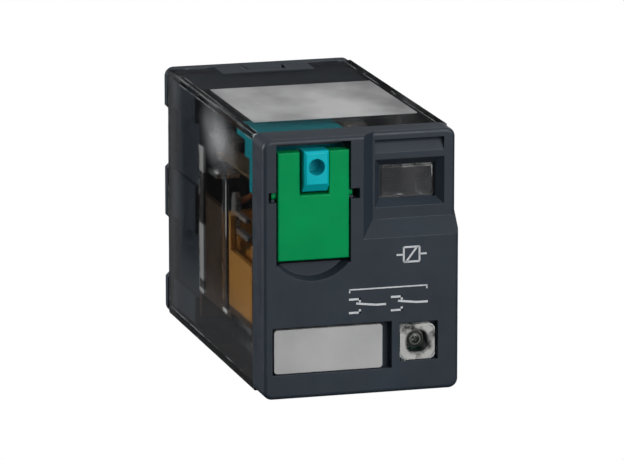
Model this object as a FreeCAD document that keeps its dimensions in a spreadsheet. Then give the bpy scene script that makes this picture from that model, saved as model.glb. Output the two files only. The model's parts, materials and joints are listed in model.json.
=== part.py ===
import FreeCAD, Part
import os
import Sketcher
from FreeCAD import Rotation, Vector

# Plug-in industrial control relay with two changeover contacts, in millimetres.
#
# Frame of the part: the origin is the centre of the seating face of the base,
# the face that sits on a socket. +X is right and +Z is up as seen from the
# front. The blades leave the base along +Y, so the front faces -Y.
#
# Every sub-part is drawn with Y as its depth behind the front face of the
# bezel, and its Placement then moves it by the body depth to the frame above.
# X and Z are measured from the centre of the front.

DIMENSIONS = [
    # overall
    ("width", 21.0), ("height", 27.4), ("body_depth", 40.6), ("corner_radius", 1.0),
    ("rim_radius", 0.45), ("clearance", 0.05), ("seat_gap", 0.02), ("overrun", 1.0),
    # front bezel and the hollow behind it
    ("bezel_depth", 4.2), ("bezel_hollow", 3.2), ("spigot_inset", 0.95),
    # door pocket, finger scoop and hinge
    ("door_pocket_left", -9.1), ("door_pocket_right", -1.15), ("door_pocket_top", 13.2),
    ("door_pocket_bottom", 0.45), ("door_pocket_floor", 2.4), ("swing_bottom", 6.9),
    ("swing_top", 12.5), ("scoop_drop", 1.75), ("scoop_chord", 0.3), ("scoop_floor", 1.3),
    ("scoop_taper", 14.0), ("door_left", -8.86), ("door_right", -1.24), ("door_top", 12.25),
    ("door_bottom", 0.87), ("door_front", 0.28), ("door_thick", 1.4), ("door_edge", 0.15),
    ("hinge_height", 7.65), ("hinge_depth", 1.28), ("stub_radius", 0.4), ("stub_reach", 0.5),
    ("stub_throat", 0.68), ("slot_height", 1.1), ("slot_depth", 0.8), ("relief_length", 0.5),
    ("relief_depth", 3.0), ("notch_left", -6.5), ("notch_right", -3.4), ("notch_bottom", 7.7),
    # step at the upper right with its nail grip and window
    ("step_depth", 1.4), ("step_left", 0.2), ("step_left_foot", 1.57), ("step_bottom", 2.75),
    ("step_bottom_foot", 4.45), ("grip_left", 1.8), ("grip_right", 9.25), ("grip_top", 12.8),
    ("grip_bottom", 11.42), ("grip_depth", 0.9),
    ("window_left", 2.55), ("window_right", 8.57), ("window_bottom", 6.4), ("window_top", 10.0),
    ("window_bevel", 0.72), ("window_depth", 2.3), ("window_lip", 0.55), ("window_seat", 0.5),
    ("pane_gap", 0.3),
    # legend plate
    ("legend_pocket_left", -9.53), ("legend_pocket_right", 3.27), ("legend_pocket_bottom", -11.1),
    ("legend_pocket_top", -6.1), ("legend_pocket_depth", 1.25),
    ("legend_left", -9.27), ("legend_right", 2.34), ("legend_bottom", -11.02),
    ("legend_top", -6.4), ("legend_front", 0.3), ("legend_corner", 0.35), ("legend_pin", 0.5),
    ("legend_pin_length", 0.9), ("legend_pin_pitch", 8.0),
    # status lamp
    ("lamp_pocket_left", 4.1), ("lamp_pocket_right", 8.25), ("lamp_pocket_bottom", -10.45),
    ("lamp_pocket_top", -6.35), ("lens_left", 4.2), ("lens_right", 7.95),
    ("lens_bottom", -10.35), ("lens_top", -6.65), ("lens_corner", 0.6), ("lens_thick", 0.9),
    ("lens_front", 0.12), ("lens_ledge", 0.4), ("lamp_x", 6.1), ("lamp_z", -8.45),
    ("lamp_radius", 1.1), ("lamp_tip", 1.2), ("lamp_rim", 0.25), ("lamp_rim_thick", 0.5),
    ("board_front", 4.15), ("board_thick", 0.8), ("board_left", 3.7), ("board_right", 9.0),
    ("board_bottom", -12.2), ("board_top", -5.25), ("chip_left", 4.5), ("chip_right", 6.9),
    ("chip_height", 1.2), ("resistor_z", -7.25), ("resistor_thick", 0.55), ("diode_z", -10.8),
    ("diode_thick", 0.8), ("lead_radius", 0.25), ("lead_z", -11.8), ("lead_x", 6.4),
    ("lead_pitch", 1.2),
    # smoked cover
    ("cover_inset", 0.1), ("cover_wall", 0.75), ("cover_edge_radius", 0.2),
    ("rib_height", 0.3), ("rib_bottom", -8.1), ("rib_one_top", 7.8), ("rib_two_top", 6.4),
    ("rib_one_rear", 26.9), ("rib_two_rear", 17.3), ("rib_width", 1.6), ("rib_root", 0.1),
    # base
    ("flange_thick", 1.1), ("tower_front", 29.7), ("tower_half_width", 9.35),
    ("tower_half_height", 12.6), ("key_notch", 0.5), ("key_notch_inner", 2.65),
    ("key_notch_outer", 9.55), ("latch_left", -2.1), ("latch_right", 2.3), ("latch_front", 37.2),
    ("latch_slope", 0.5), ("latch_root", 0.2), ("latch_gap", 0.1),
    # terminals
    ("column", 6.6), ("blade_width", 2.6), ("blade_thick", 0.5), ("blade_length", 6.0),
    ("blade_tip_chamfer", 0.6), ("blade_hole_width", 1.2), ("blade_hole_length", 2.2),
    ("blade_hole_centre", 43.8), ("row_closed", 8.5), ("row_open", 4.4), ("row_common", -1.9),
    ("row_coil", -8.5), ("contact_depth", 26.5), ("contact_radius", 1.2), ("contact_margin", 0.3),
    ("wipe", 1.1), ("closed_contact_low", 7.75), ("open_contact_high", 5.02),
    ("strip_x", 8.3), ("strip_half_height", 0.6), ("strip_start", 30.0), ("strip_end", 32.9),
    ("riser_front", 15.7), ("riser_width", 2.0), ("riser_top", 4.7), ("riser_round", 0.9),
    ("finger_thick", 0.5), ("upper_finger_front", 11.7), ("upper_finger", 2.65),
    ("lower_finger_front", 11.1), ("lower_finger", 0.85),
    # coil, core and yoke
    ("coil_z", -4.6), ("winding_half_width", 7.75), ("winding_half_height", 3.6),
    ("winding_corner", 1.2), ("tape_thick", 0.12), ("flange_front", 10.85),
    ("bobbin_flange", 0.8), ("bobbin_rear", 28.8), ("bobbin_rim", 0.25), ("bobbin_top", 0.0),
    ("bobbin_foot_gap", 0.05), ("cheek_inner", 8.6), ("cheek_outer", 9.1), ("cheek_front", 15.9),
    ("cheek_top", 2.4), ("cheek_bottom", -8.7), ("panel_front", 7.4), ("panel_top", -1.3),
    ("panel_bottom", -8.0), ("tube_radius", 2.9), ("core_radius", 2.3),
    ("pole_radius", 3.6), ("pole_front", 10.55), ("tail_radius", 1.5), ("tail_end", 30.2),
    ("yoke_half_width", 5.0), ("yoke_thick", 1.0), ("yoke_bottom", -12.4), ("yoke_front", 9.9),
    ("perch_half_width", 1.8), ("perch_thick", 1.0), ("perch_floor", 0.4), ("perch_rim", 0.4),
    # armature, carrier and moving contacts
    ("armature_front", 8.6), ("armature_rear", 9.8), ("armature_half_width", 4.8),
    ("armature_top", 0.5), ("armature_bottom", -12.3),
    ("carrier_half_width", 8.2), ("carrier_front", 8.75), ("carrier_rear", 9.9),
    ("carrier_top", 11.8), ("carrier_bottom", 0.6), ("tongue_front", 7.4),
    ("tongue_half_width", 4.4), ("tongue_bottom", -3.2), ("bridge_height", 1.4),
    ("spring_z", 6.955), ("spring_thick", 0.25), ("spring_width", 2.4), ("spring_root", 9.0),
    ("spring_tip", 28.0), ("spring_taper", 0.5),
    ("moving_head", 0.65), ("rivet_radius", 0.7), ("rivet_head", 0.4), ("rivet_x", 2.6),
    ("rivet_z", -1.2), ("rivet_fit", 0.01), ("slot_length", 5.0),
    # flag lever
    ("pin_depth", 11.8), ("pin_z", 5.0), ("pin_radius", 0.5), ("pin_left", 7.3),
    ("pin_right", 9.2), ("bracket_left", 7.1), ("bracket_right", 8.0), ("bracket_half_depth", 0.6),
    ("bracket_rise", 1.0), ("arm_left", 8.5), ("arm_right", 9.0), ("arm_half_height", 0.4),
    ("hub_radius", 1.0), ("tail_front", 11.2), ("tail_thick", 0.8), ("tail_top", 7.8),
    ("flag_left", 2.9), ("flag_front", 5.0), ("flag_rear", 5.6), ("flag_bottom", 3.0),
    ("flag_top", 5.95), ("lug_bottom", 7.0), ("lug_top", 7.6), ("lug_rear", 11.12),
    ("lug_root", 0.5),
    # test button
    ("head_left", -6.25), ("head_right", -3.6), ("head_bottom", 8.07), ("head_top", 12.4),
    ("head_front", -0.5), ("head_rear", 1.8), ("head_chamfer", 0.9), ("head_edge", 0.25),
    ("neck_left", -5.95), ("neck_right", -3.9), ("neck_bottom", 8.6), ("neck_top", 11.7),
    ("button_front", 4.7), ("button_left", -8.9), ("button_right", -0.1), ("button_top", 12.1),
    ("button_shelf", 10.2), ("button_bottom", 6.8), ("button_rear", 8.7), ("skirt_rear", 6.8),
    ("wing_left", -9.3), ("wing_right", -8.6), ("wing_rear", 9.4), ("wing_low_rear", 7.6),
    ("guide_bottom", 11.95), ("guide_top", 12.6), ("guide_rear", 12.5),
    ("tool_hole_x", -4.94), ("tool_hole_z", 10.74), ("tool_hole_radius", 0.87),
    ("tool_hole_depth", 2.2),
    # return spring and flexible leads
    ("return_z", 2.4), ("return_radius", 1.1), ("return_wire", 0.16), ("return_rear", 14.5),
    ("return_turns", 6), ("return_slack", 0.05), ("braid_radius", 0.35), ("braid_rise", 1.1),
    ("braid_foot", 1.0), ("braid_reach", 3.0),
]

doc = FreeCAD.newDocument("control_relay")
sheet = doc.addObject("Spreadsheet::Sheet", "d")
for row, (alias, value) in enumerate(DIMENSIONS, start=1):
    sheet.set(f"A{row}", alias.replace("_", " "))
    sheet.set(f"B{row}", str(value))
    sheet.setAlias(f"B{row}", alias)
doc.recompute()

PLANES = {"XY": ("XY_Plane", 1), "XZ": ("XZ_Plane", -1), "YZ": ("YZ_Plane", 1)}
AXES = {
    "X": Rotation(Vector(0, 1, 0), 90),
    "Y": Rotation(Vector(1, 0, 0), -90),
    "Z": Rotation(),
}
nodes = []
start_depths = {}


def value(expression):
    """Number that an expression on the sheet stands for."""
    return float(sheet.evalExpression(str(expression)))


def bind(obj, path, expression):
    obj.setExpression(path, str(expression))


def keep(obj, name):
    """Make an object a sub-part: its label, and its place behind the front face."""
    obj.Label = name
    bind(obj, "Placement.Base.y", start_depths.get(obj.Name, "0") + " - d.body_depth")
    nodes.append(obj)
    return obj


def new_body(name):
    body = doc.addObject("PartDesign::Body", name)
    return keep(body, name)


def sketch_on(body, plane, offset):
    """Empty sketch parallel to an origin plane of the body, at the given coordinate."""
    role, direction = PLANES[plane]
    sketch = body.newObject("Sketcher::SketchObject", body.Name + "_sketch")
    origin = {feature.Role: feature for feature in body.Origin.OriginFeatures}
    sketch.AttachmentSupport = (origin[role], [""])
    sketch.MapMode = "FlatFace"
    bind(sketch, "AttachmentOffset.Base.z", f"{direction} * ({offset})")
    return sketch


def pin_point(sketch, geometry, vertex, x, y):
    for kind, expression in (("DistanceX", x), ("DistanceY", y)):
        constraint = Sketcher.Constraint(kind, -1, 1, geometry, vertex, value(expression))
        index = sketch.addConstraint(constraint)
        bind(sketch, f"Constraints[{index}]", expression)


def draw_polygon(sketch, points):
    """Closed outline of straight edges, each corner held at its two coordinates."""
    corners = [Vector(value(x), value(y), 0) for x, y in points]
    first = sketch.GeometryCount
    count = len(points)
    for i in range(count):
        sketch.addGeometry(Part.LineSegment(corners[i], corners[(i + 1) % count]), False)
    for i in range(count):
        after = first + (i + 1) % count
        sketch.addConstraint(Sketcher.Constraint("Coincident", first + i, 2, after, 1))
        pin_point(sketch, first + i, 1, *points[i])
    return sketch


def draw_circle(sketch, x, y, radius):
    circle = Part.Circle(Vector(value(x), value(y), 0), Vector(0, 0, 1), value(radius))
    geometry = sketch.addGeometry(circle, False)
    pin_point(sketch, geometry, 3, x, y)
    index = sketch.addConstraint(Sketcher.Constraint("Radius", geometry, value(radius)))
    bind(sketch, f"Constraints[{index}]", radius)
    return sketch


def rectangle(left, right, bottom, top):
    return [(left, bottom), (right, bottom), (right, top), (left, top)]


def polygon_on(body, plane, offset, points):
    return draw_polygon(sketch_on(body, plane, offset), points)


def circle_on(body, plane, offset, x, y, radius):
    return draw_circle(sketch_on(body, plane, offset), x, y, radius)


def extrude(body, kind, sketch, length, toward_positive):
    """Pad or pocket whose material or cut lies on the named side of the sketch."""
    feature = body.newObject("PartDesign::" + kind, body.Name + "_" + kind.lower())
    feature.Profile = sketch
    bind(feature, "Length", length)
    faces_forward = "XZ" in sketch.AttachmentSupport[0][0].Role
    forward = faces_forward != toward_positive
    feature.Reversed = forward if kind == "Pocket" else not forward
    body.Tip = feature
    return feature


def pad(body, sketch, length, toward_positive=True):
    return extrude(body, "Pad", sketch, length, toward_positive)


def pocket(body, sketch, length, toward_positive=True):
    """Cut from the sketch, checked to have removed material."""
    doc.recompute()
    before = body.Shape.Volume
    feature = extrude(body, "Pocket", sketch, length, toward_positive)
    doc.recompute()
    if not feature.Shape.Volume < before:
        raise RuntimeError(f"{feature.Name} cuts nothing")
    return feature


def loft_cut(body, first, second):
    """Tapered cut between two outlines of the same number of corners."""
    feature = body.newObject("PartDesign::SubtractiveLoft", body.Name + "_loft")
    feature.Profile = first
    feature.Sections = [second]
    feature.Ruled = True
    body.Tip = feature
    doc.recompute()
    return feature


def dress(body, kind, size, wanted):
    """Fillet or chamfer the edges of the body that the test picks out."""
    doc.recompute()
    tip = body.Tip
    picked = [f"Edge{i}" for i, edge in enumerate(tip.Shape.Edges, start=1) if wanted(edge)]
    feature = body.newObject("PartDesign::" + kind, body.Name + "_" + kind.lower())
    feature.Base = (tip, picked)
    bind(feature, "Radius" if kind == "Fillet" else "Size", size)
    body.Tip = feature
    return feature


TOLERANCE = 0.01


def near(a, b):
    return abs(a - b) < TOLERANCE


def runs_along(edge, axis):
    """True for a straight edge parallel to the axis."""
    if edge.Curve.TypeId != "Part::GeomLine":
        return False
    return near(abs(edge.tangentAt(edge.FirstParameter).dot(axis)), 1)


def corner_edge(axis, first, second):
    """Test for straight edges along an axis, by the other two coordinates' absolute values."""
    names = [name for name in "xyz" if not near(getattr(axis, name), 1)]

    def wanted(edge):
        centre = edge.BoundBox.Center
        places = [abs(getattr(centre, name)) for name in names]
        return runs_along(edge, axis) and near(places[0], first) and near(places[1], second)

    return wanted


ALONG_X = Vector(1, 0, 0)
ALONG_Y = Vector(0, 1, 0)
ALONG_Z = Vector(0, 0, 1)


def block(name, x, y, z):
    """Box between two coordinates on each axis."""
    box = doc.addObject("Part::Box", name)
    for size, place, (low, high) in (("Length", "x", x), ("Width", "y", y), ("Height", "z", z)):
        bind(box, size, f"({high}) - ({low})")
        bind(box, "Placement.Base." + place, low)
    start_depths[box.Name] = y[0]
    return box


def rod(name, axis, radius, start, length):
    """Cylinder along an axis from its start point."""
    cylinder = doc.addObject("Part::Cylinder", name)
    cylinder.Placement.Rotation = AXES[axis]
    bind(cylinder, "Radius", radius)
    bind(cylinder, "Height", length)
    for place, expression in zip("xyz", start):
        bind(cylinder, "Placement.Base." + place, expression)
    start_depths[cylinder.Name] = start[1]
    return cylinder


def join(name, shapes):
    fuse = doc.addObject("Part::MultiFuse", name)
    fuse.Shapes = shapes
    fuse.Refine = True
    return fuse


def cut(name, base, tool):
    result = doc.addObject("Part::Cut", name)
    result.Base = base
    result.Tool = tool
    return result


# ---------------------------------------------------------------- front bezel

def make_front_bezel():
    body = new_body("front_bezel")
    half_width, half_height = "d.width / 2", "d.height / 2"
    outline = rectangle("-" + half_width, half_width, "-" + half_height, half_height)
    pad(body, polygon_on(body, "XZ", "0", outline), "d.bezel_depth")
    across, up = value(half_width), value(half_height)
    dress(body, "Fillet", "d.corner_radius", corner_edge(ALONG_Y, across, up))
    cut_step(body)
    dress(body, "Fillet", "d.rim_radius", lambda edge: on_front_rim(edge, across, up))
    cut_bezel_hollow(body)
    cut_door_pocket(body)
    cut_nail_grip(body)
    cut_window(body)
    cut_legend_and_lamp_pockets(body)


def on_front_rim(edge, across, up):
    """Edge of the front face, or of the floor of the step, that lies on the outside."""
    box, foot = edge.BoundBox, value("d.step_depth")
    flat = near(box.YMin, box.YMax) and (near(box.YMin, 0) or near(box.YMin, foot))
    reach_x, reach_z = max(abs(box.XMin), abs(box.XMax)), max(abs(box.ZMin), abs(box.ZMax))
    side = near(reach_x, across) and near(min(abs(box.XMin), abs(box.XMax)), across)
    end = near(reach_z, up) and near(min(abs(box.ZMin), abs(box.ZMax)), up)
    corner = near(reach_x, across) and near(reach_z, up)
    return flat and (side or end or corner)


def cut_bezel_hollow(body):
    across = "d.width / 2 - d.spigot_inset"
    up = "d.height / 2 - d.spigot_inset"
    outline = rectangle(f"-({across})", across, f"-({up})", up)
    pocket(body, polygon_on(body, "XZ", "d.bezel_hollow", outline), "d.bezel_depth")


def cut_door_pocket(body):
    left, right, top = "d.door_pocket_left", "d.door_pocket_right", "d.door_pocket_top"
    outline = rectangle(left, right, "d.door_pocket_bottom", top)
    pocket(body, polygon_on(body, "XZ", "0", outline), "d.door_pocket_floor")
    swing = rectangle(left, right, "d.swing_bottom", "d.swing_top")
    pocket(body, polygon_on(body, "XZ", "0", swing), "d.bezel_depth")
    cut_scoop(body)
    cut_stub_slots(body)


def cut_scoop(body):
    """Finger scoop below the door: a shallow arc closed by a chord inside the door pocket."""
    left, right = "d.door_pocket_left", "d.door_pocket_right"
    chord, low = "d.door_pocket_bottom + d.scoop_chord", "d.door_pocket_bottom - d.scoop_drop"
    sketch = sketch_on(body, "XZ", "0")
    ends = [Vector(value(left), value(chord), 0), Vector(value(right), value(chord), 0)]
    middle = Vector((ends[0].x + ends[1].x) / 2, value(low), 0)
    arc = sketch.addGeometry(Part.Arc(ends[0], middle, ends[1]), False)
    line = sketch.addGeometry(Part.LineSegment(ends[1], ends[0]), False)
    pin_point(sketch, line, 1, right, chord)
    pin_point(sketch, line, 2, left, chord)
    span, sag = f"({right} - {left})", f"({chord} - ({low}))"
    starts_left = sketch.getPoint(arc, 1).x < middle.x
    sketch.addConstraint(Sketcher.Constraint("Coincident", arc, 1, line, 2 if starts_left else 1))
    sketch.addConstraint(Sketcher.Constraint("Coincident", arc, 2, line, 1 if starts_left else 2))
    radius = f"{span} * {span} / (8 * {sag}) + {sag} / 2"
    index = sketch.addConstraint(Sketcher.Constraint("Radius", arc, value(radius)))
    bind(sketch, f"Constraints[{index}]", radius)
    bowl = pocket(body, sketch, "d.scoop_floor")
    bind(bowl, "TaperAngle", "-d.scoop_taper")


def cut_stub_slots(body):
    """Slots for the door's pivot stubs: a lead-in, a snap-in throat and a round seat behind it.

    Beyond each stub a deeper relief lets the throat spring open.
    """
    low, high = "d.hinge_height - d.slot_height / 2", "d.hinge_height + d.slot_height / 2"
    stub_end = "(d.door_left - d.stub_reach - d.clearance)"
    cut_stub_slot(body, stub_end, f"d.door_pocket_left - {stub_end}", low, high)
    relief = rectangle(f"{stub_end} - d.relief_length", stub_end, low, high)
    pocket(body, polygon_on(body, "XZ", "0", relief), "d.relief_depth")
    stub_end = "(d.door_right + d.stub_reach + d.clearance)"
    cut_stub_slot(body, "d.door_pocket_right", f"{stub_end} - d.door_pocket_right", low, high)
    relief = rectangle(stub_end, f"{stub_end} + d.relief_length", low, high)
    pocket(body, polygon_on(body, "XZ", "0", relief), "d.relief_depth")


def cut_stub_slot(body, start, length, low, high):
    lead_in = rectangle("-d.overrun", "d.slot_depth", low, high)
    pocket(body, polygon_on(body, "YZ", start, lead_in), length)
    throat = rectangle("0", "d.hinge_depth", "d.hinge_height - d.stub_throat / 2",
                       "d.hinge_height + d.stub_throat / 2")
    pocket(body, polygon_on(body, "YZ", start, throat), length)
    seat = circle_on(body, "YZ", start, "d.hinge_depth", "d.hinge_height",
                     "d.stub_radius + d.clearance")
    pocket(body, seat, length)


def cut_step(body):
    """Lowered area at the upper right: a ramp along its bottom and a slope along its left side."""
    beyond = "d.height / 2 + d.overrun"
    ramp = "(d.step_bottom_foot - d.step_bottom) / d.step_depth"
    profile = [("-d.overrun", f"d.step_bottom - d.overrun * {ramp}"),
               ("d.step_depth", "d.step_bottom_foot"),
               ("d.step_depth", beyond), ("-d.overrun", beyond)]
    length = "d.width / 2 + d.overrun - d.step_left"
    pocket(body, polygon_on(body, "YZ", "d.step_left", profile), length)
    slope = [("d.step_left - d.overrun", "0"), ("d.step_left", "0"),
             ("d.step_left_foot", "d.step_depth"), ("d.step_left - d.overrun", "d.step_depth")]
    pad(body, polygon_on(body, "XY", "d.step_bottom", slope), "d.height / 2 - d.step_bottom")


def cut_nail_grip(body):
    front = "d.step_depth - d.clearance"
    wedge = [(front, "d.grip_top"), ("d.step_depth + d.grip_depth", "d.grip_top"),
             ("d.step_depth", "d.grip_bottom"), (front, "d.grip_bottom")]
    sketch = polygon_on(body, "YZ", "d.grip_left", wedge)
    pocket(body, sketch, "d.grip_right - d.grip_left")


def cut_window(body):
    """Bevelled opening with a lip, and a wider seat behind the lip for the window's flange."""
    wide = window_outline("d.window_bevel")
    narrow = window_outline("0")
    loft_cut(body, polygon_on(body, "XZ", "d.step_depth", wide),
             polygon_on(body, "XZ", "d.window_depth", narrow))
    pocket(body, polygon_on(body, "XZ", "d.window_depth", narrow), "d.bezel_depth")
    seat = window_outline("d.window_seat")
    pocket(body, polygon_on(body, "XZ", "d.window_depth + d.window_lip", seat), "d.bezel_depth")


def window_outline(grow):
    """Rectangle of the window opening, larger on every side by a distance."""
    return rectangle(f"d.window_left - ({grow})", f"d.window_right + ({grow})",
                     f"d.window_bottom - ({grow})", f"d.window_top + ({grow})")


def cut_legend_and_lamp_pockets(body):
    legend = rectangle("d.legend_pocket_left", "d.legend_pocket_right",
                       "d.legend_pocket_bottom", "d.legend_pocket_top")
    pocket(body, polygon_on(body, "XZ", "0", legend), "d.legend_pocket_depth")
    pins = sketch_on(body, "XZ", "d.legend_pocket_depth")
    for side in (-1, 1):
        draw_circle(pins, legend_pin_x(side), legend_pin_z(), "d.legend_pin + d.seat_gap")
    pocket(body, pins, "d.bezel_depth")
    lamp = rectangle("d.lamp_pocket_left", "d.lamp_pocket_right",
                     "d.lamp_pocket_bottom", "d.lamp_pocket_top")
    pocket(body, polygon_on(body, "XZ", "0", lamp), "d.lens_front + d.lens_thick")
    bore = rectangle("d.lens_left + d.lens_ledge", "d.lens_right - d.lens_ledge",
                     "d.lens_bottom + d.lens_ledge", "d.lens_top - d.lens_ledge")
    pocket(body, polygon_on(body, "XZ", "0", bore), "d.bezel_depth")


def legend_pin_x(side):
    return f"(d.legend_left + d.legend_right) / 2 + {side} * d.legend_pin_pitch / 2"


def legend_pin_z():
    return "(d.legend_bottom + d.legend_top) / 2"


def make_status_window():
    """Clear pane: a flange held behind the lip and a raised block in the opening."""
    body = new_body("status_window")
    front = "(d.window_depth + d.window_lip + d.seat_gap)"
    flange = window_outline("d.window_seat - d.seat_gap")
    pad(body, polygon_on(body, "XZ", front, flange), f"d.bezel_hollow - {front}")
    block_front = "(d.window_depth + d.seat_gap)"
    raised = window_outline("-d.pane_gap")
    pad(body, polygon_on(body, "XZ", block_front, raised), f"d.bezel_hollow - {block_front}")


# ------------------------------------------------------- door and test button

def make_lockdown_door():
    body = new_body("lockdown_door")
    left, right = "d.door_left", "d.door_right"
    low, high = "d.door_bottom", "d.door_top"
    outline = [(left, low), (right, low), (right, high), ("d.notch_right", high),
               ("d.notch_right", "d.notch_bottom"), ("d.notch_left", "d.notch_bottom"),
               ("d.notch_left", high), (left, high)]
    pad(body, polygon_on(body, "XZ", "d.door_front", outline), "d.door_thick")
    front = value("d.door_front")
    dress(body, "Fillet", "d.door_edge", lambda edge: near(edge.BoundBox.YMax, front))
    for start in (f"{left} - d.stub_reach", f"{right} - d.stub_reach"):
        stub = circle_on(body, "YZ", start, "d.hinge_depth", "d.hinge_height", "d.stub_radius")
        pad(body, stub, "2 * d.stub_reach")


def make_test_button():
    """Head in the door's notch, a neck through the cover, a shelf and skirt behind it, and guides.

    The guides run rearward along the top and the left wall of the cover and keep it square.
    """
    body = new_body("test_button")
    head = rectangle("d.head_left", "d.head_right", "d.head_bottom", "d.head_top")
    pad(body, polygon_on(body, "XZ", "d.head_front", head), "d.head_rear - d.head_front")
    neck = rectangle("d.neck_left", "d.neck_right", "d.neck_bottom", "d.neck_top")
    pad(body, polygon_on(body, "XZ", "d.head_rear", neck), "d.button_front - d.head_rear")
    shelf = rectangle("d.button_left", "d.button_right", "d.button_shelf", "d.button_top")
    pad(body, polygon_on(body, "XZ", "d.button_front", shelf), "d.button_rear - d.button_front")
    skirt = rectangle("d.button_left", "d.button_right", "d.button_bottom", "d.button_shelf")
    pad(body, polygon_on(body, "XZ", "d.button_front", skirt), "d.skirt_rear - d.button_front")
    guide = rectangle("d.wing_left", "d.button_right", "d.guide_bottom", "d.guide_top")
    pad(body, polygon_on(body, "XZ", "d.button_front", guide), "d.guide_rear - d.button_front")
    wing = [("d.button_front", "d.button_bottom"), ("d.wing_low_rear", "d.button_bottom"),
            ("d.wing_low_rear", "d.button_shelf"), ("d.wing_rear", "d.button_shelf"),
            ("d.wing_rear", "d.guide_top"), ("d.button_front", "d.guide_top")]
    pad(body, polygon_on(body, "YZ", "d.wing_left", wing), "d.wing_right - d.wing_left")
    front, low = value("d.head_front"), value("d.head_bottom")
    dress(body, "Chamfer", "d.head_chamfer",
          lambda edge: near(edge.BoundBox.YMax, front) and near(edge.BoundBox.ZMax, low))
    dress(body, "Chamfer", "d.head_edge",
          lambda edge: near(edge.BoundBox.YMax, front)
          and edge.BoundBox.Center.z > low + value("d.head_chamfer + d.clearance"))
    hole = circle_on(body, "XZ", "d.head_front", "d.tool_hole_x", "d.tool_hole_z",
                     "d.tool_hole_radius")
    pocket(body, hole, "d.tool_hole_depth")


# ------------------------------------------------------ legend and lamp pieces

def make_legend_plate():
    body = new_body("legend_plate")
    outline = rectangle("d.legend_left", "d.legend_right", "d.legend_bottom", "d.legend_top")
    thick = "d.legend_pocket_depth - d.seat_gap - d.legend_front"
    pad(body, polygon_on(body, "XZ", "d.legend_front", outline), thick)
    dress(body, "Fillet", "d.legend_corner", lambda edge: runs_along(edge, ALONG_Y))
    pins = sketch_on(body, "XZ", "d.legend_front + " + thick)
    for side in (-1, 1):
        draw_circle(pins, legend_pin_x(side), legend_pin_z(), "d.legend_pin")
    pad(body, pins, "d.legend_pin_length")


def make_lamp_lens():
    body = new_body("lamp_lens")
    outline = rectangle("d.lens_left", "d.lens_right", "d.lens_bottom", "d.lens_top")
    thick = "d.lens_thick - d.seat_gap"
    pad(body, polygon_on(body, "XZ", "d.lens_front", outline), thick)
    dress(body, "Fillet", "d.lens_corner", lambda edge: runs_along(edge, ALONG_Y))


def make_status_lamp():
    """Round-nosed lamp: a dome, its barrel and the rim that sits on the board."""
    nose = doc.addObject("Part::Sphere", "lamp_nose")
    bind(nose, "Radius", "d.lamp_radius")
    middle = ("d.lamp_x", "d.lamp_tip + d.lamp_radius", "d.lamp_z")
    for place, expression in zip("xyz", middle):
        bind(nose, "Placement.Base." + place, expression)
    barrel = rod("lamp_barrel", "Y", "d.lamp_radius", middle,
                 "d.board_front - d.seat_gap - d.lamp_tip - d.lamp_radius")
    rim_start = ("d.lamp_x", "d.board_front - d.seat_gap - d.lamp_rim_thick", "d.lamp_z")
    rim = rod("lamp_rim", "Y", "d.lamp_radius + d.lamp_rim", rim_start, "d.lamp_rim_thick")
    keep(join("status_lamp", [nose, barrel, rim]), "status_lamp")


def make_lamp_board():
    rear = "d.board_front + d.board_thick"
    board = block("lamp_board", ("d.board_left", "d.board_right"), ("d.board_front", rear),
                  ("d.board_bottom", "d.board_top"))
    keep(board, "lamp_board")
    for label, low, thick in (("series_resistor", "d.resistor_z", "d.resistor_thick"),
                              ("reverse_diode", "d.diode_z", "d.diode_thick")):
        chip = block(label, ("d.chip_left", "d.chip_right"), (rear, f"{rear} + {thick}"),
                     (low, low + " + d.chip_height"))
        keep(chip, label)


def make_lamp_leads():
    """Two insulated leads from the board, under the coil, to the coil blades in the base."""
    start = "d.board_front + d.board_thick"
    leads = []
    for number in range(2):
        place = (f"d.lead_x + {number} * d.lead_pitch", start, "d.lead_z")
        leads.append(rod(f"lead_{number}", "Y", "d.lead_radius", place, f"d.tower_front - ({start})"))
    keep(join("lamp_leads", leads), "lamp_leads")


# ---------------------------------------------------------------- smoked cover

def make_clear_cover():
    """Open-backed box with a front wall that plugs into the bezel."""
    body = new_body("clear_cover")
    across, up = "(d.width / 2 - d.cover_inset)", "(d.height / 2 - d.cover_inset)"
    rear = "d.body_depth - d.flange_thick"
    outline = rectangle("-" + across, across, "-" + up, up)
    pad(body, polygon_on(body, "XZ", "d.bezel_depth", outline), f"{rear} - d.bezel_depth")
    dress(body, "Fillet", "d.cover_edge_radius", corner_edge(ALONG_Y, value(across), value(up)))
    plug_x = "(d.width / 2 - d.spigot_inset - d.clearance)"
    plug_z = "(d.height / 2 - d.spigot_inset - d.clearance)"
    plug = rectangle("-" + plug_x, plug_x, "-" + plug_z, plug_z)
    plug_front = "d.bezel_hollow + d.seat_gap"
    pad(body, polygon_on(body, "XZ", plug_front, plug), f"d.bezel_depth - ({plug_front})")
    inner = rectangle(f"-({across} - d.cover_wall)", f"{across} - d.cover_wall",
                      f"-({up} - d.cover_wall)", f"{up} - d.cover_wall")
    inner_front = "d.bezel_hollow + d.cover_wall"
    pocket(body, polygon_on(body, "XZ", inner_front, inner), "d.body_depth")
    cut_cover_openings(body)
    add_cover_ribs(body, across)


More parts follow.
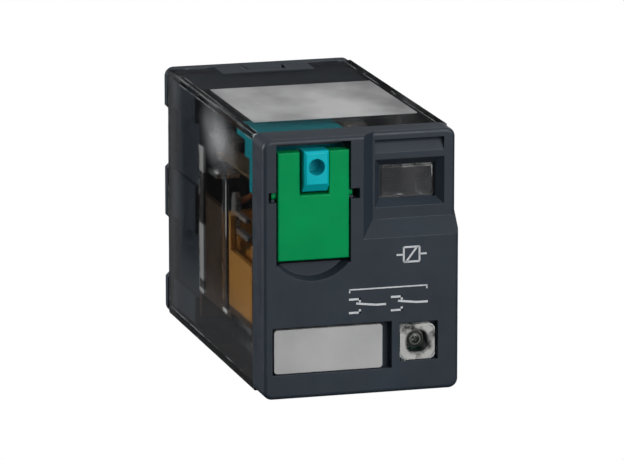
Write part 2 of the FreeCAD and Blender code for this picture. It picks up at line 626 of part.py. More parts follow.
def cut_cover_openings(body):
    gap = "d.clearance"
    front_wall = "d.cover_wall + d.clearance"
    neck = rectangle(f"d.neck_left - {gap}", f"d.neck_right + {gap}",
                     f"d.neck_bottom - {gap}", f"d.neck_top + {gap}")
    pocket(body, polygon_on(body, "XZ", "d.bezel_hollow", neck), front_wall)
    lamp = rectangle("d.lens_left", "d.lens_right", "d.lens_bottom", "d.lens_top")
    pocket(body, polygon_on(body, "XZ", "d.bezel_hollow", lamp), front_wall)
    latch = rectangle("d.latch_left - d.latch_gap", "d.latch_right + d.latch_gap",
                      "d.latch_front - d.latch_gap", "d.body_depth")
    for height in ("d.height / 2 - 2 * d.overrun", "-d.height / 2 - d.overrun"):
        pocket(body, polygon_on(body, "XY", height, latch), "3 * d.overrun")


def add_cover_ribs(body, across):
    """Two upright ribs inside each side wall stiffen it."""
    wall = f"({across} - d.cover_wall)"
    for rear, top in (("d.rib_one_rear", "d.rib_one_top"), ("d.rib_two_rear", "d.rib_two_top")):
        for low, high in ((f"-({wall} + d.rib_root)", f"-({wall} - d.rib_height)"),
                          (f"{wall} - d.rib_height", f"{wall} + d.rib_root")):
            rib = rectangle(low, high, f"{rear} - d.rib_width", rear)
            pad(body, polygon_on(body, "XY", "d.rib_bottom", rib), f"{top} - d.rib_bottom")


# ------------------------------------------------------------------------ base

def make_base_block():
    body = new_body("base_block")
    pad(body, polygon_on(body, "XZ", "d.body_depth - d.flange_thick", flange_outline()),
        "d.flange_thick")
    across, up = "d.tower_half_width", "d.tower_half_height"
    tower = rectangle("-" + across, across, "-" + up, up)
    pad(body, polygon_on(body, "XZ", "d.tower_front", tower),
        "d.body_depth - d.flange_thick - d.tower_front")
    dress(body, "Fillet", "d.corner_radius",
          corner_edge(ALONG_Y, value("d.width / 2"), value("d.height / 2")))
    add_latch_tabs(body)
    cut_key_grooves(body)
    cut_yoke_seat(body)
    cut_terminal_slots(body)


def flange_outline():
    """Rectangle with two keying notches in each side, their ends at 45 degrees."""
    side, top = "d.width / 2", "d.height / 2"
    inner, outer, deep = "d.key_notch_inner", "d.key_notch_outer", "d.key_notch"
    right = [(side, f"-({top})")]
    for sign, first, second in (("-", outer, inner), ("", inner, outer)):
        turn = "+" if sign == "-" else ""
        start, end = f"{sign}{first}", f"{sign}{second}"
        right += [(side, start), (f"{side} - {deep}", f"{start} + {deep}"),
                  (f"{side} - {deep}", f"{end} - {deep}"), (side, end)]
    right.append((side, top))
    left = [(f"-({x})", z) for x, z in reversed(right)]
    return right + left


def add_latch_tabs(body):
    """Wedge tabs above and below the tower catch the rear edge of the cover."""
    flange_front = "d.body_depth - d.flange_thick"
    outline = [("d.latch_left", flange_front), ("d.latch_right", flange_front),
               ("d.latch_right - d.latch_slope", "d.latch_front"),
               ("d.latch_left + d.latch_slope", "d.latch_front")]
    for low in ("d.tower_half_height - d.latch_root", "-d.height / 2"):
        pad(body, polygon_on(body, "XY", low, outline),
            "d.height / 2 - d.tower_half_height + d.latch_root")


def cut_key_grooves(body):
    """Shallow grooves that carry the flange's keying notches along the sides of the tower."""
    for side in (-1, 1):
        ends = (f"{side} * (d.tower_half_width - d.key_notch)",
                f"{side} * (d.tower_half_width + d.key_notch)")
        left, right = ends if side > 0 else reversed(ends)
        for low, high in (("d.key_notch_inner", "d.key_notch_outer"),
                          ("-d.key_notch_outer", "-d.key_notch_inner")):
            groove = rectangle(left, right, low, high)
            pocket(body, polygon_on(body, "XZ", "d.tower_front", groove),
                   "d.body_depth - d.flange_thick - d.tower_front")


def cut_yoke_seat(body):
    across = "d.yoke_half_width + d.latch_gap"
    outline = rectangle(f"-({across})", across, "-d.tower_half_height - d.latch_gap",
                        "d.coil_z + d.winding_half_height + d.latch_gap")
    pocket(body, polygon_on(body, "XZ", "d.tower_front", outline),
           "d.tail_end + d.latch_gap - d.tower_front")


def cut_terminal_slots(body):
    """Through slots for the eight blades and seats for the side strips."""
    gap = "d.seat_gap"
    for side in (-1, 1):
        centre = f"{side} * d.column"
        for row in ("d.row_closed", "d.row_open", "d.row_common", "d.row_coil"):
            slot = rectangle(f"{centre} - d.blade_width / 2 - {gap}",
                             f"{centre} + d.blade_width / 2 + {gap}",
                             f"{row} - d.blade_thick / 2 - {gap}",
                             f"{row} + d.blade_thick / 2 + {gap}")
            pocket(body, polygon_on(body, "XZ", "d.tower_front - d.overrun", slot), "d.body_depth")
        outer = f"{side} * (d.strip_x + d.blade_thick / 2 + {gap})"
        inner = f"{side} * (d.column - d.blade_width / 2 - {gap})"
        low, high = (inner, outer) if side > 0 else (outer, inner)
        seat = rectangle(low, high, f"d.row_common - d.strip_half_height - {gap}",
                         f"d.row_common + d.strip_half_height + {gap}")
        pocket(body, polygon_on(body, "XZ", "d.tower_front - d.overrun", seat),
               "d.strip_end + d.clearance - d.tower_front + d.overrun")


# ------------------------------------------------------------------- terminals

def blade_outline(side, front):
    """Flat blade seen from above, its tip chamfered for plugging in."""
    centre, half = f"{side} * d.column", "d.blade_width / 2"
    tip, nip = "d.body_depth + d.blade_length", "d.blade_tip_chamfer"
    return [(f"{centre} - {half}", front), (f"{centre} + {half}", front),
            (f"{centre} + {half}", f"{tip} - {nip}"), (f"{centre} + {half} - {nip}", tip),
            (f"{centre} - {half} + {nip}", tip), (f"{centre} - {half}", f"{tip} - {nip}")]


def make_blade(name, side, row, front):
    body = new_body(name)
    floor = f"{row} - d.blade_thick / 2"
    pad(body, polygon_on(body, "XY", floor, blade_outline(side, front)), "d.blade_thick")
    cut_blade_hole(body, side, floor)
    return body


def cut_blade_hole(body, side, floor):
    """Oblong solder hole through the blade."""
    radius = "d.blade_hole_width / 2"
    reach = "(d.blade_hole_length - d.blade_hole_width) / 2"
    for shift in (f"-{reach}", reach):
        end = circle_on(body, "XY", floor + " - d.clearance", f"{side} * d.column",
                        f"d.blade_hole_centre + {shift}", radius)
        pocket(body, end, "2 * d.blade_thick")
    middle = rectangle(f"{side} * d.column - {radius}", f"{side} * d.column + {radius}",
                       f"d.blade_hole_centre - {reach}", f"d.blade_hole_centre + {reach}")
    pocket(body, polygon_on(body, "XY", floor + " - d.clearance", middle), "2 * d.blade_thick")


def make_terminals(side, word):
    inner_end = "d.contact_depth - d.contact_radius - d.contact_margin"
    make_blade(f"break_terminal_{word}", side, "d.row_closed", inner_end)
    make_blade(f"make_terminal_{word}", side, "d.row_open", inner_end + " + d.wipe")
    make_blade(f"coil_terminal_{word}", side, "d.row_coil", "d.tower_front")
    make_common_terminal(f"common_terminal_{word}", side)


def make_common_terminal(name, side):
    """Blade with a strip that runs forward beside the coil and turns up into a riser.

    Two fingers point forward from the riser.
    """
    body = make_blade(name, side, "d.row_common", "d.strip_start")
    low = f"{side} * d.strip_x - d.blade_thick / 2"
    high = f"{side} * d.strip_x + d.blade_thick / 2"
    blade_edge = f"{side} * (d.column + d.blade_width / 2 - d.clearance)"
    ends = (low, blade_edge) if side < 0 else (blade_edge, high)
    bridge = rectangle(ends[0], ends[1], "d.strip_start", "d.strip_end")
    pad(body, polygon_on(body, "XY", "d.row_common - d.blade_thick / 2", bridge), "d.blade_thick")
    bottom, top = "d.row_common - d.strip_half_height", "d.row_common + d.strip_half_height"
    front, back = "d.riser_front", "d.riser_front + d.riser_width"
    strip = [(front, bottom), ("d.strip_end", bottom), ("d.strip_end", top),
             (back, top), (back, "d.riser_top"), (front, "d.riser_top")]
    pad(body, polygon_on(body, "YZ", low, strip), "d.blade_thick")
    for height, tip in (("d.upper_finger", "d.upper_finger_front"),
                        ("d.lower_finger", "d.lower_finger_front")):
        finger = rectangle(tip, f"{front} + d.clearance", f"{height} - d.finger_thick / 2",
                           f"{height} + d.finger_thick / 2")
        pad(body, polygon_on(body, "YZ", low, finger), "d.blade_thick")
    crest = value("d.riser_top")
    dress(body, "Fillet", "d.riser_round",
          lambda edge: runs_along(edge, ALONG_X) and near(edge.BoundBox.Center.z, crest))


def make_contacts(side, word):
    """Contact heads welded under the break terminal and on the make terminal."""
    centre = f"{side} * d.column"
    break_low = "d.closed_contact_low"
    head = rod(f"break_contact_{word}", "Z", "d.contact_radius",
               (centre, "d.contact_depth", break_low),
               f"d.row_closed - d.blade_thick / 2 - {break_low}")
    keep(head, f"break_contact_{word}")
    make_low = "d.row_open + d.blade_thick / 2"
    head = rod(f"make_contact_{word}", "Z", "d.contact_radius",
               (centre, "d.contact_depth + d.wipe", make_low),
               f"d.open_contact_high - ({make_low})")
    keep(head, f"make_contact_{word}")
    moving_low = "d.spring_z - d.spring_thick / 2 - d.moving_head"
    lower = rod(f"lower_head_{word}", "Z", "d.contact_radius",
                (centre, "d.contact_depth", moving_low), "d.moving_head")
    shank = rod(f"shank_{word}", "Z", "d.contact_radius / 2",
                (centre, "d.contact_depth", moving_low), "2 * d.moving_head + d.spring_thick")
    upper = rod(f"upper_head_{word}", "Z", "d.contact_radius",
                (centre, "d.contact_depth", "d.spring_z + d.spring_thick / 2"), "d.moving_head")
    keep(join(f"moving_contact_{word}", [lower, shank, upper]), f"moving_contact_{word}")


def make_contact_spring(side, word):
    """Spring blade that carries the moving contact, held in the carrier."""
    body = new_body(f"contact_spring_{word}")
    left = f"{side} * d.column - d.spring_width / 2"
    right = f"{side} * d.column + d.spring_width / 2"
    root, tip, taper = "d.spring_root", "d.spring_tip", "d.spring_taper"
    outline = [(left, root), (right, root), (right, f"{tip} - 2 * {taper}"),
               (f"{right} - {taper}", tip), (f"{left} + {taper}", tip),
               (left, f"{tip} - 2 * {taper}")]
    floor = "d.spring_z - d.spring_thick / 2"
    pad(body, polygon_on(body, "XY", floor, outline), "d.spring_thick")
    hole = circle_on(body, "XY", floor + " - d.clearance", f"{side} * d.column",
                     "d.contact_depth", "d.contact_radius / 2")
    pocket(body, hole, "2 * d.spring_thick")


# --------------------------------------------------------- coil, core and yoke

def make_coil_winding():
    """Winding between the bobbin flanges, square in section with well rounded corners."""
    body = new_body("coil_winding")
    front = "d.flange_front + d.bobbin_flange"
    outline = rectangle("-d.winding_half_width", "d.winding_half_width",
                        "d.coil_z - d.winding_half_height", "d.coil_z + d.winding_half_height")
    pad(body, polygon_on(body, "XZ", front, outline), f"d.bobbin_rear - d.bobbin_flange - ({front})")
    dress(body, "Fillet", "d.winding_corner", lambda edge: runs_along(edge, ALONG_Y))
    bore = circle_on(body, "XZ", front + " - d.clearance", "0", "d.coil_z", "d.tube_radius")
    pocket(body, bore, "d.body_depth")


def make_coil_tape():
    """One wrap of insulating tape around the winding."""
    outer = rounded_bar("tape_outer", "d.tape_thick")
    inner = rounded_bar("tape_inner", "0")
    keep(cut("coil_tape", outer, inner), "coil_tape")


def rounded_bar(name, grow):
    """Rounded square bar as long as the winding, made of two crossed blocks and four rods."""
    front = "d.flange_front + d.bobbin_flange"
    rear = "d.bobbin_rear - d.bobbin_flange"
    across = f"(d.winding_half_width + {grow})"
    up = f"(d.winding_half_height + {grow})"
    radius = f"(d.winding_corner + {grow})"
    wide = block(name + "_wide", (f"-{across}", across), (front, rear),
                 (f"d.coil_z - {up} + {radius}", f"d.coil_z + {up} - {radius}"))
    tall = block(name + "_tall", (f"-{across} + {radius}", f"{across} - {radius}"), (front, rear),
                 (f"d.coil_z - {up}", f"d.coil_z + {up}"))
    pieces = [wide, tall]
    for number, (sx, sz) in enumerate(((-1, -1), (1, -1), (-1, 1), (1, 1))):
        start = (f"{sx} * ({across} - {radius})", front, f"d.coil_z + {sz} * ({up} - {radius})")
        pieces.append(rod(f"{name}_corner_{number}", "Y", radius, start, f"{rear} - ({front})"))
    return join(name, pieces)


def make_coil_bobbin():
    """Spool with a narrow front flange, and a wide rear flange with cheeks over the strips."""
    body = new_body("coil_bobbin")
    low = "d.yoke_bottom + d.yoke_thick + d.bobbin_foot_gap"
    narrow = "(d.winding_half_width + d.bobbin_rim)"
    front_flange = rectangle("-" + narrow, narrow, low, "d.bobbin_top")
    pad(body, polygon_on(body, "XZ", "d.flange_front", front_flange), "d.bobbin_flange")
    tube = circle_on(body, "XZ", "d.flange_front", "0", "d.coil_z", "d.tube_radius")
    pad(body, tube, "d.bobbin_rear - d.flange_front")
    wide, rear = "d.cheek_outer", "d.bobbin_rear - d.bobbin_flange"
    rear_flange = rectangle("-" + wide, wide, low, "d.bobbin_top")
    pad(body, polygon_on(body, "XZ", rear, rear_flange), "d.bobbin_flange")
    add_cheeks(body)
    add_spring_perch(body)
    add_flag_bracket(body)
    bore = circle_on(body, "XZ", "d.flange_front - d.clearance", "0", "d.coil_z",
                     "d.core_radius + d.seat_gap")
    pocket(body, bore, "d.body_depth")


def add_cheeks(body):
    """Side walls that insulate the common strips from the cover, slotted for the strips.

    A lower panel carries each wall forward past the winding and the armature.
    """
    for side in (-1, 1):
        ends = (f"{side} * d.cheek_inner", f"{side} * d.cheek_outer")
        left, right = ends if side > 0 else reversed(ends)
        cheek = rectangle(left, right, "d.cheek_bottom", "d.cheek_top")
        pad(body, polygon_on(body, "XZ", "d.cheek_front", cheek), "d.bobbin_rear - d.cheek_front")
        panel = rectangle(left, right, "d.panel_bottom", "d.panel_top")
        pad(body, polygon_on(body, "XZ", "d.panel_front", panel),
            "d.cheek_front + d.overrun - d.panel_front")
        gap = "(d.blade_thick / 2 + d.seat_gap)"
        slot = rectangle(f"{side} * d.strip_x - {gap}", f"{side} * d.strip_x + {gap}",
                         "d.row_common - d.strip_half_height - d.seat_gap",
                         "d.row_common + d.strip_half_height + d.seat_gap")
        pocket(body, polygon_on(body, "XZ", "d.bobbin_rear - d.bobbin_flange - d.clearance", slot),
               "d.bobbin_flange + 2 * d.clearance")


def add_spring_perch(body):
    """Shelf above the winding that backs the return spring."""
    half, floor = "d.perch_half_width", "d.bobbin_top - d.perch_floor / 2"
    end = "d.return_rear + d.perch_thick"
    shelf = rectangle("-" + half, half, "d.flange_front", end)
    pad(body, polygon_on(body, "XY", floor, shelf), "d.perch_floor")
    back = rectangle("-" + half, half, "d.return_rear", end)
    pad(body, polygon_on(body, "XY", floor, back),
        f"d.return_z + d.return_radius + d.perch_rim - ({floor})")


def add_flag_bracket(body):
    """Post at the right that holds the pin of the flag lever."""
    front, rear = "d.pin_depth - d.bracket_half_depth", "d.pin_depth + d.bracket_half_depth"
    post = rectangle("d.bracket_left", "d.bracket_right", "d.bobbin_top - d.perch_floor",
                     "d.pin_z + d.bracket_rise")
    pad(body, polygon_on(body, "XZ", front, post), f"{rear} - ({front})")
    foot = rectangle("d.bracket_left", "d.winding_half_width", "d.bobbin_top - d.perch_floor",
                     "d.bobbin_top")
    pad(body, polygon_on(body, "XZ", "d.flange_front", foot), f"{rear} - d.flange_front")
    hole = circle_on(body, "YZ", "d.pin_left", "d.pin_depth", "d.pin_z", "d.pin_radius")
    pocket(body, hole, "2 * d.overrun")


def make_coil_core():
    head = rod("pole_head", "Y", "d.pole_radius", ("0", "d.pole_front", "d.coil_z"),
               "d.flange_front - d.pole_front")
    shaft = rod("core_shaft", "Y", "d.core_radius", ("0", "d.pole_front", "d.coil_z"),
                "d.bobbin_rear + d.clearance - d.pole_front")
    tail = rod("core_tail", "Y", "d.tail_radius", ("0", "d.pole_front", "d.coil_z"),
               "d.tail_end - d.pole_front")
    keep(join("coil_core", [head, shaft, tail]), "coil_core")


def make_yoke():
    """L-shaped iron: a rear plate that the core is staked to and a leg under the coil."""
    rear_face = "(d.bobbin_rear + d.clearance)"
    across = ("-d.yoke_half_width", "d.yoke_half_width")
    leg = block("yoke_leg", across, ("d.yoke_front", f"{rear_face} + d.yoke_thick"),
                ("d.yoke_bottom", "d.yoke_bottom + d.yoke_thick"))
    plate = block("yoke_plate", across, (rear_face, f"{rear_face} + d.yoke_thick"),
                  ("d.yoke_bottom", "d.coil_z + d.winding_half_height"))
    hole_start = ("0", rear_face + " - d.overrun", "d.coil_z")
    hole = rod("yoke_hole", "Y", "d.tail_radius + d.rivet_fit", hole_start,
               "d.yoke_thick + 2 * d.overrun")
    keep(cut("yoke", join("yoke_solid", [leg, plate]), hole), "yoke")


# ------------------------------------------------------- armature and carrier

def make_armature():
    plate = block("armature_plate", ("-d.armature_half_width", "d.armature_half_width"),
                  ("d.armature_front", "d.armature_rear"), ("d.armature_bottom", "d.armature_top"))
    length = "d.armature_rear - d.armature_front + 2 * d.overrun"
    holes = [rivet_rod(f"armature_hole_{n}", side, "d.rivet_radius + d.rivet_fit",
                       "d.armature_front - d.overrun", length)
             for n, side in enumerate((-1, 1))]
    keep(cut("armature", plate, join("armature_holes", holes)), "armature")


def rivet_rod(name, side, radius, start, length):
    return rod(name, "Y", radius, (f"{side} * d.rivet_x", start, "d.rivet_z"), length)


def make_carrier_rivets():
    rivets = []
    for number, side in enumerate((-1, 1)):
        head_front = "d.tongue_front - d.rivet_head"
        shank = rivet_rod(f"rivet_shank_{number}", side, "d.rivet_radius", head_front,
                          f"d.armature_rear - ({head_front})")
        front = rivet_rod(f"rivet_front_{number}", side, "d.rivet_radius + d.rivet_head",
                          head_front, "d.rivet_head")
        rivets.append(join(f"rivet_{number}", [shank, front]))
    keep(join("carrier_rivets", rivets), "carrier_rivets")


def make_contact_carrier():
    """Insulating plate on top of the armature: slots for the springs, lug for the flag."""
    body = new_body("contact_carrier")
    across = "d.carrier_half_width"
    plate = rectangle("-" + across, across, "d.carrier_bottom", "d.carrier_top")
    pad(body, polygon_on(body, "XZ", "d.carrier_front", plate), "d.carrier_rear - d.carrier_front")
    narrow = "d.tongue_half_width"
    tongue = rectangle("-" + narrow, narrow, "d.tongue_bottom",
                       "d.carrier_bottom + d.bridge_height")
    pad(body, polygon_on(body, "XZ", "d.tongue_front", tongue), "d.armature_front - d.tongue_front")
    bridge = rectangle("-" + narrow, narrow, "d.carrier_bottom",
                       "d.carrier_bottom + d.bridge_height")
    pad(body, polygon_on(body, "XZ", "d.tongue_front", bridge), "d.carrier_rear - d.tongue_front")
    lug = rectangle("d.carrier_half_width - d.lug_root", "d.arm_right", "d.lug_bottom", "d.lug_top")
    pad(body, polygon_on(body, "XZ", "d.carrier_front", lug), "d.lug_rear - d.carrier_front")
    gap = "d.seat_gap"
    for side in (-1, 1):
        slot = rectangle(f"{side} * d.column - d.spring_width / 2 - {gap}",
                         f"{side} * d.column + d.spring_width / 2 + {gap}",
                         f"d.spring_z - d.spring_thick / 2 - {gap}",
                         f"d.spring_z + d.spring_thick / 2 + {gap}")
        pocket(body, polygon_on(body, "XZ", f"d.spring_root - {gap}", slot), "d.slot_length")
        hole = circle_on(body, "XZ", "d.tongue_front - d.clearance", f"{side} * d.rivet_x",
                         "d.rivet_z", "d.rivet_radius + d.rivet_fit")
        pocket(body, hole, "d.armature_rear - d.tongue_front")


def make_return_spring():
    """Compression spring that pushes the carrier forward again."""
    wire, radius, turns = value("d.return_wire"), value("d.return_radius"), value("d.return_turns")
    room = value("d.return_rear - d.carrier_rear - 2 * (d.return_wire + d.return_slack)")
    helix = Part.makeHelix(room / turns, room, radius)
    section = Part.Wire(Part.makeCircle(wire, Vector(radius, 0, 0), ALONG_Y))
    feature = doc.addObject("Part::Feature", "return_spring")
    feature.Shape = Part.Wire(helix.Edges).makePipeShell([section], True, True)
    feature.Placement = FreeCAD.Placement(Vector(), AXES["Y"])
    bind(feature, "Placement.Base.z", "d.return_z")
    start_depths[feature.Name] = "d.carrier_rear + d.return_wire + d.return_slack"
    keep(feature, "return_spring")


def make_braid(side, word):
    """Flexible braid from the common riser up to the spring blade."""
    riser = Vector(side * value("d.strip_x - d.blade_thick / 2 - d.braid_radius"),
                   value("d.riser_front + d.braid_foot"), value("d.riser_top - d.braid_foot"))
    landing = Vector(side * value("d.column"), value("d.riser_front - d.braid_reach"),
                     value("d.spring_z - d.spring_thick / 2 - d.braid_radius"))
    middle = (riser + landing) / 2
    middle.z = riser.z + value("d.braid_rise")
    path = Part.BSplineCurve()
    path.interpolate([riser, middle, landing])
    edge = path.toShape()
    start = edge.FirstParameter
    section = Part.Wire(Part.makeCircle(value("d.braid_radius"), edge.valueAt(start),
                                        edge.tangentAt(start)))
    feature = doc.addObject("Part::Feature", f"flexible_braid_{word}")
    feature.Shape = Part.Wire(edge).makePipeShell([section], True, True)
    keep(feature, f"flexible_braid_{word}")


# ------------------------------------------------------------------ flag lever

def make_flag_pin():
    pin = rod("flag_pin", "X", "d.pin_radius", ("d.pin_left", "d.pin_depth", "d.pin_z"),
              "d.pin_right - d.pin_left")
    keep(pin, "flag_pin")


def make_status_flag():
    """Lever with a plate that rises behind the window when the contacts change over."""
    body = new_body("status_flag")
    low, high = "d.pin_z - d.arm_half_height", "d.pin_z + d.arm_half_height"
    thick = "d.arm_right - d.arm_left"
    arm = rectangle("d.flag_front", "d.pin_depth", low, high)
    pad(body, polygon_on(body, "YZ", "d.arm_left", arm), thick)
    pad(body, circle_on(body, "YZ", "d.arm_left", "d.pin_depth", "d.pin_z", "d.hub_radius"), thick)
    tail = rectangle("d.tail_front", "d.tail_front + d.tail_thick", "d.pin_z", "d.tail_top")
    pad(body, polygon_on(body, "YZ", "d.arm_left", tail), thick)
    plate = rectangle("d.flag_front", "d.flag_rear", "d.flag_bottom", "d.flag_top")
    pad(body, polygon_on(body, "YZ", "d.flag_left", plate), "d.arm_right - d.flag_left")
    bore = circle_on(body, "YZ", "d.arm_left - d.clearance", "d.pin_depth", "d.pin_z",
                     "d.pin_radius + d.clearance")
    pocket(body, bore, f"{thick} + 2 * d.clearance")


# ----------------------------------------------------------------------- build

make_front_bezel()
make_status_window()
make_lockdown_door()
make_test_button()
make_legend_plate()
make_lamp_lens()
make_status_lamp()
make_lamp_board()
make_lamp_leads()
make_clear_cover()
make_base_block()
make_coil_winding()
make_coil_tape()
make_coil_bobbin()
make_coil_core()
make_yoke()
make_armature()
make_contact_carrier()
make_carrier_rivets()
make_return_spring()
make_flag_pin()
make_status_flag()
for side, word in ((-1, "left"), (1, "right")):
    make_terminals(side, word)
    make_contacts(side, word)
    make_contact_spring(side, word)
    make_braid(side, word)

doc.recompute()
for obj in doc.Objects:
    if "Invalid" in obj.State or "Error" in obj.State:
        raise RuntimeError(f"{obj.Name} failed: {obj.State}")
os.makedirs("parts", exist_ok=True)
for node in nodes:
    shape = node.Shape
    if shape.isNull() or not shape.isValid():
        raise RuntimeError(f"{node.Label} has no valid shape")
    shape.exportStep(f"parts/{node.Label}.step")
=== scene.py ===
import json
import math

import bmesh
import bpy
from mathutils import Matrix, Vector


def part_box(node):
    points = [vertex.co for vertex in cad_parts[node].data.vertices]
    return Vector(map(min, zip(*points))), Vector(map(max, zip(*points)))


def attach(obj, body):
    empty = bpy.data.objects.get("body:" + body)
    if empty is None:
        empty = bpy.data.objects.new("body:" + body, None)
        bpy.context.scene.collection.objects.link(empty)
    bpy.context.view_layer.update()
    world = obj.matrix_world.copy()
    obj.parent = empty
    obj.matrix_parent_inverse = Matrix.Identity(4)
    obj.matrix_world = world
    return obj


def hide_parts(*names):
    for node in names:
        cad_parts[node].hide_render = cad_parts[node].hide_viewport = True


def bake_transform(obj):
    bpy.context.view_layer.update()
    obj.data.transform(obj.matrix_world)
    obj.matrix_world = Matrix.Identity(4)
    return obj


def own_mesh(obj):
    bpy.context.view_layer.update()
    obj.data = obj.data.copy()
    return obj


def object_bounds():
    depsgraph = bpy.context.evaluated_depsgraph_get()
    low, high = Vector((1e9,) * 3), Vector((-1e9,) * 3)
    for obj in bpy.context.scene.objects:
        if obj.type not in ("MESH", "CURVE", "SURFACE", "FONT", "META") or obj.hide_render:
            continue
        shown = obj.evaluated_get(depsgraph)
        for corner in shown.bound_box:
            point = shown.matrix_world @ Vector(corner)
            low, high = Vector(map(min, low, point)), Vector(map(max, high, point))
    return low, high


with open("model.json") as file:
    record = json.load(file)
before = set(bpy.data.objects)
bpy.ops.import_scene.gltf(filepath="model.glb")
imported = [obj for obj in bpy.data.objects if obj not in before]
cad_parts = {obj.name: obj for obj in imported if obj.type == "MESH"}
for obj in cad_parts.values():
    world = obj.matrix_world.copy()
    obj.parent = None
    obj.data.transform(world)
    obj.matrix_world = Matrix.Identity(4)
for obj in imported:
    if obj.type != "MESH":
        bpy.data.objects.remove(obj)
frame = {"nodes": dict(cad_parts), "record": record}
CAD_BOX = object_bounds()
NODES = frame["nodes"]
MM = 0.001
BEVEL_SAMPLES = 4
BEHIND = 0.01 * MM

# The object's own measures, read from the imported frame.
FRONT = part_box("front_bezel")[0].y
COVER_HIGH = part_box("clear_cover")[1]


def depth(mm):
    """Y of a point so many millimetres behind the front face."""
    return FRONT + mm * MM


# ------------------------------------------------------------ node materials

class Nodes:
    """Short way to build one material's node tree."""

    def __init__(self, name):
        self.material = bpy.data.materials.new(name)
        self.material.use_nodes = True
        self.tree = self.material.node_tree
        self.tree.nodes.clear()
        self.output = self.tree.nodes.new("ShaderNodeOutputMaterial")

    def add(self, kind, inputs=None, **settings):
        node = self.tree.nodes.new(kind)
        for key, setting in settings.items():
            setattr(node, key, setting)
        for key, content in (inputs or {}).items():
            self.feed(node.inputs[key], content)
        return node

    def feed(self, socket, content):
        if isinstance(content, bpy.types.NodeSocket):
            self.tree.links.new(content, socket)
        elif isinstance(content, bpy.types.Node):
            self.tree.links.new(content.outputs[0], socket)
        else:
            socket.default_value = content

    def surface(self, shader):
        self.feed(self.output.inputs["Surface"], shader)
        return self.material

    def place(self, scale=(1, 1, 1)):
        """Object coordinates in millimetres, stretched by a scale."""
        coordinates = self.add("ShaderNodeTexCoord").outputs["Object"]
        sizes = tuple(s / MM for s in scale)
        return self.add("ShaderNodeMapping", {"Vector": coordinates, "Scale": sizes})

    def noise(self, scale, detail=2.0, stretch=(1, 1, 1), roughness=0.5):
        return self.add("ShaderNodeTexNoise",
                        {"Vector": self.place(stretch), "Scale": scale, "Detail": detail,
                         "Roughness": roughness}).outputs["Fac"]

    def ramp(self, factor, low, high, low_value, high_value):
        """Numbers between low_value and high_value as the factor goes from low to high."""
        return self.add("ShaderNodeMapRange",
                        {"Value": factor, "From Min": low, "From Max": high,
                         "To Min": low_value, "To Max": high_value}).outputs["Result"]

    def mix_colour(self, factor, first, second, blend="MIX"):
        node = self.add("ShaderNodeMix", data_type="RGBA", blend_type=blend)
        self.feed(node.inputs[0], factor)
        self.feed(node.inputs[6], first)
        self.feed(node.inputs[7], second)
        return node.outputs[2]

    def math(self, operation, first, second=0.5):
        node = self.add("ShaderNodeMath", operation=operation)
        self.feed(node.inputs[0], first)
        self.feed(node.inputs[1], second)
        return node.outputs[0]

    def bump(self, height, distance_mm, strength=1.0, normal=None):
        inputs = {"Height": height, "Distance": distance_mm * MM, "Strength": strength}
        if normal is not None:
            inputs["Normal"] = normal
        return self.add("ShaderNodeBump", inputs).outputs["Normal"]

    def rounded(self, radius_mm):
        """Normal that catches light along edges as if they were rounded."""
        bevel = self.add("ShaderNodeBevel", {"Radius": radius_mm * MM}, samples=BEVEL_SAMPLES)
        return bevel.outputs["Normal"]

    def edge_mask(self, radius_mm, sharpness=3.0):
        """One along worn edges and zero on flat areas."""
        soft = self.rounded(radius_mm)
        flat = self.add("ShaderNodeNewGeometry").outputs["Normal"]
        dot = self.add("ShaderNodeVectorMath", {0: soft, 1: flat}, operation="DOT_PRODUCT")
        bend = self.math("SUBTRACT", 1.0, dot.outputs["Value"])
        return self.add("ShaderNodeMath", {0: bend, 1: sharpness}, operation="MULTIPLY",
                        use_clamp=True).outputs[0]


def shade(colour, factor):
    return tuple(min(1.0, c * factor) for c in colour[:3]) + (1.0,)


# Where shade is painted on the bobbin, in millimetres: the side cheeks outside CHEEK_INSIDE,
# deeper than the depth that follows behind the front face, and everything below the last height.
CHEEK_INSIDE = 8.4
UNSHADED_UNTIL = 18.0
UNSHADED_DOWN_TO = -7.1


def bobbin_painted_shade(n, tone):
    """Painted shade: the bobbin's side cheeks and its lower edge are painted dark grey."""
    place = n.add("ShaderNodeSeparateXYZ", {0: n.place()}).outputs
    back = n.math("SUBTRACT", place["Y"], FRONT / MM)
    cheek = n.math("GREATER_THAN", n.math("ABSOLUTE", place["X"]), CHEEK_INSIDE)
    shaded_share = n.math("MULTIPLY", cheek, n.ramp(back, UNSHADED_UNTIL, UNSHADED_UNTIL + 0.8, 0.0, 0.93))
    low_shade = n.ramp(place["Z"], UNSHADED_DOWN_TO, UNSHADED_DOWN_TO - 0.3, 0.0, 0.9)
    shaded_share = n.math("MAXIMUM", shaded_share, low_shade)
    return n.mix_colour(shaded_share, tone, (0.012, 0.013, 0.015, 1))


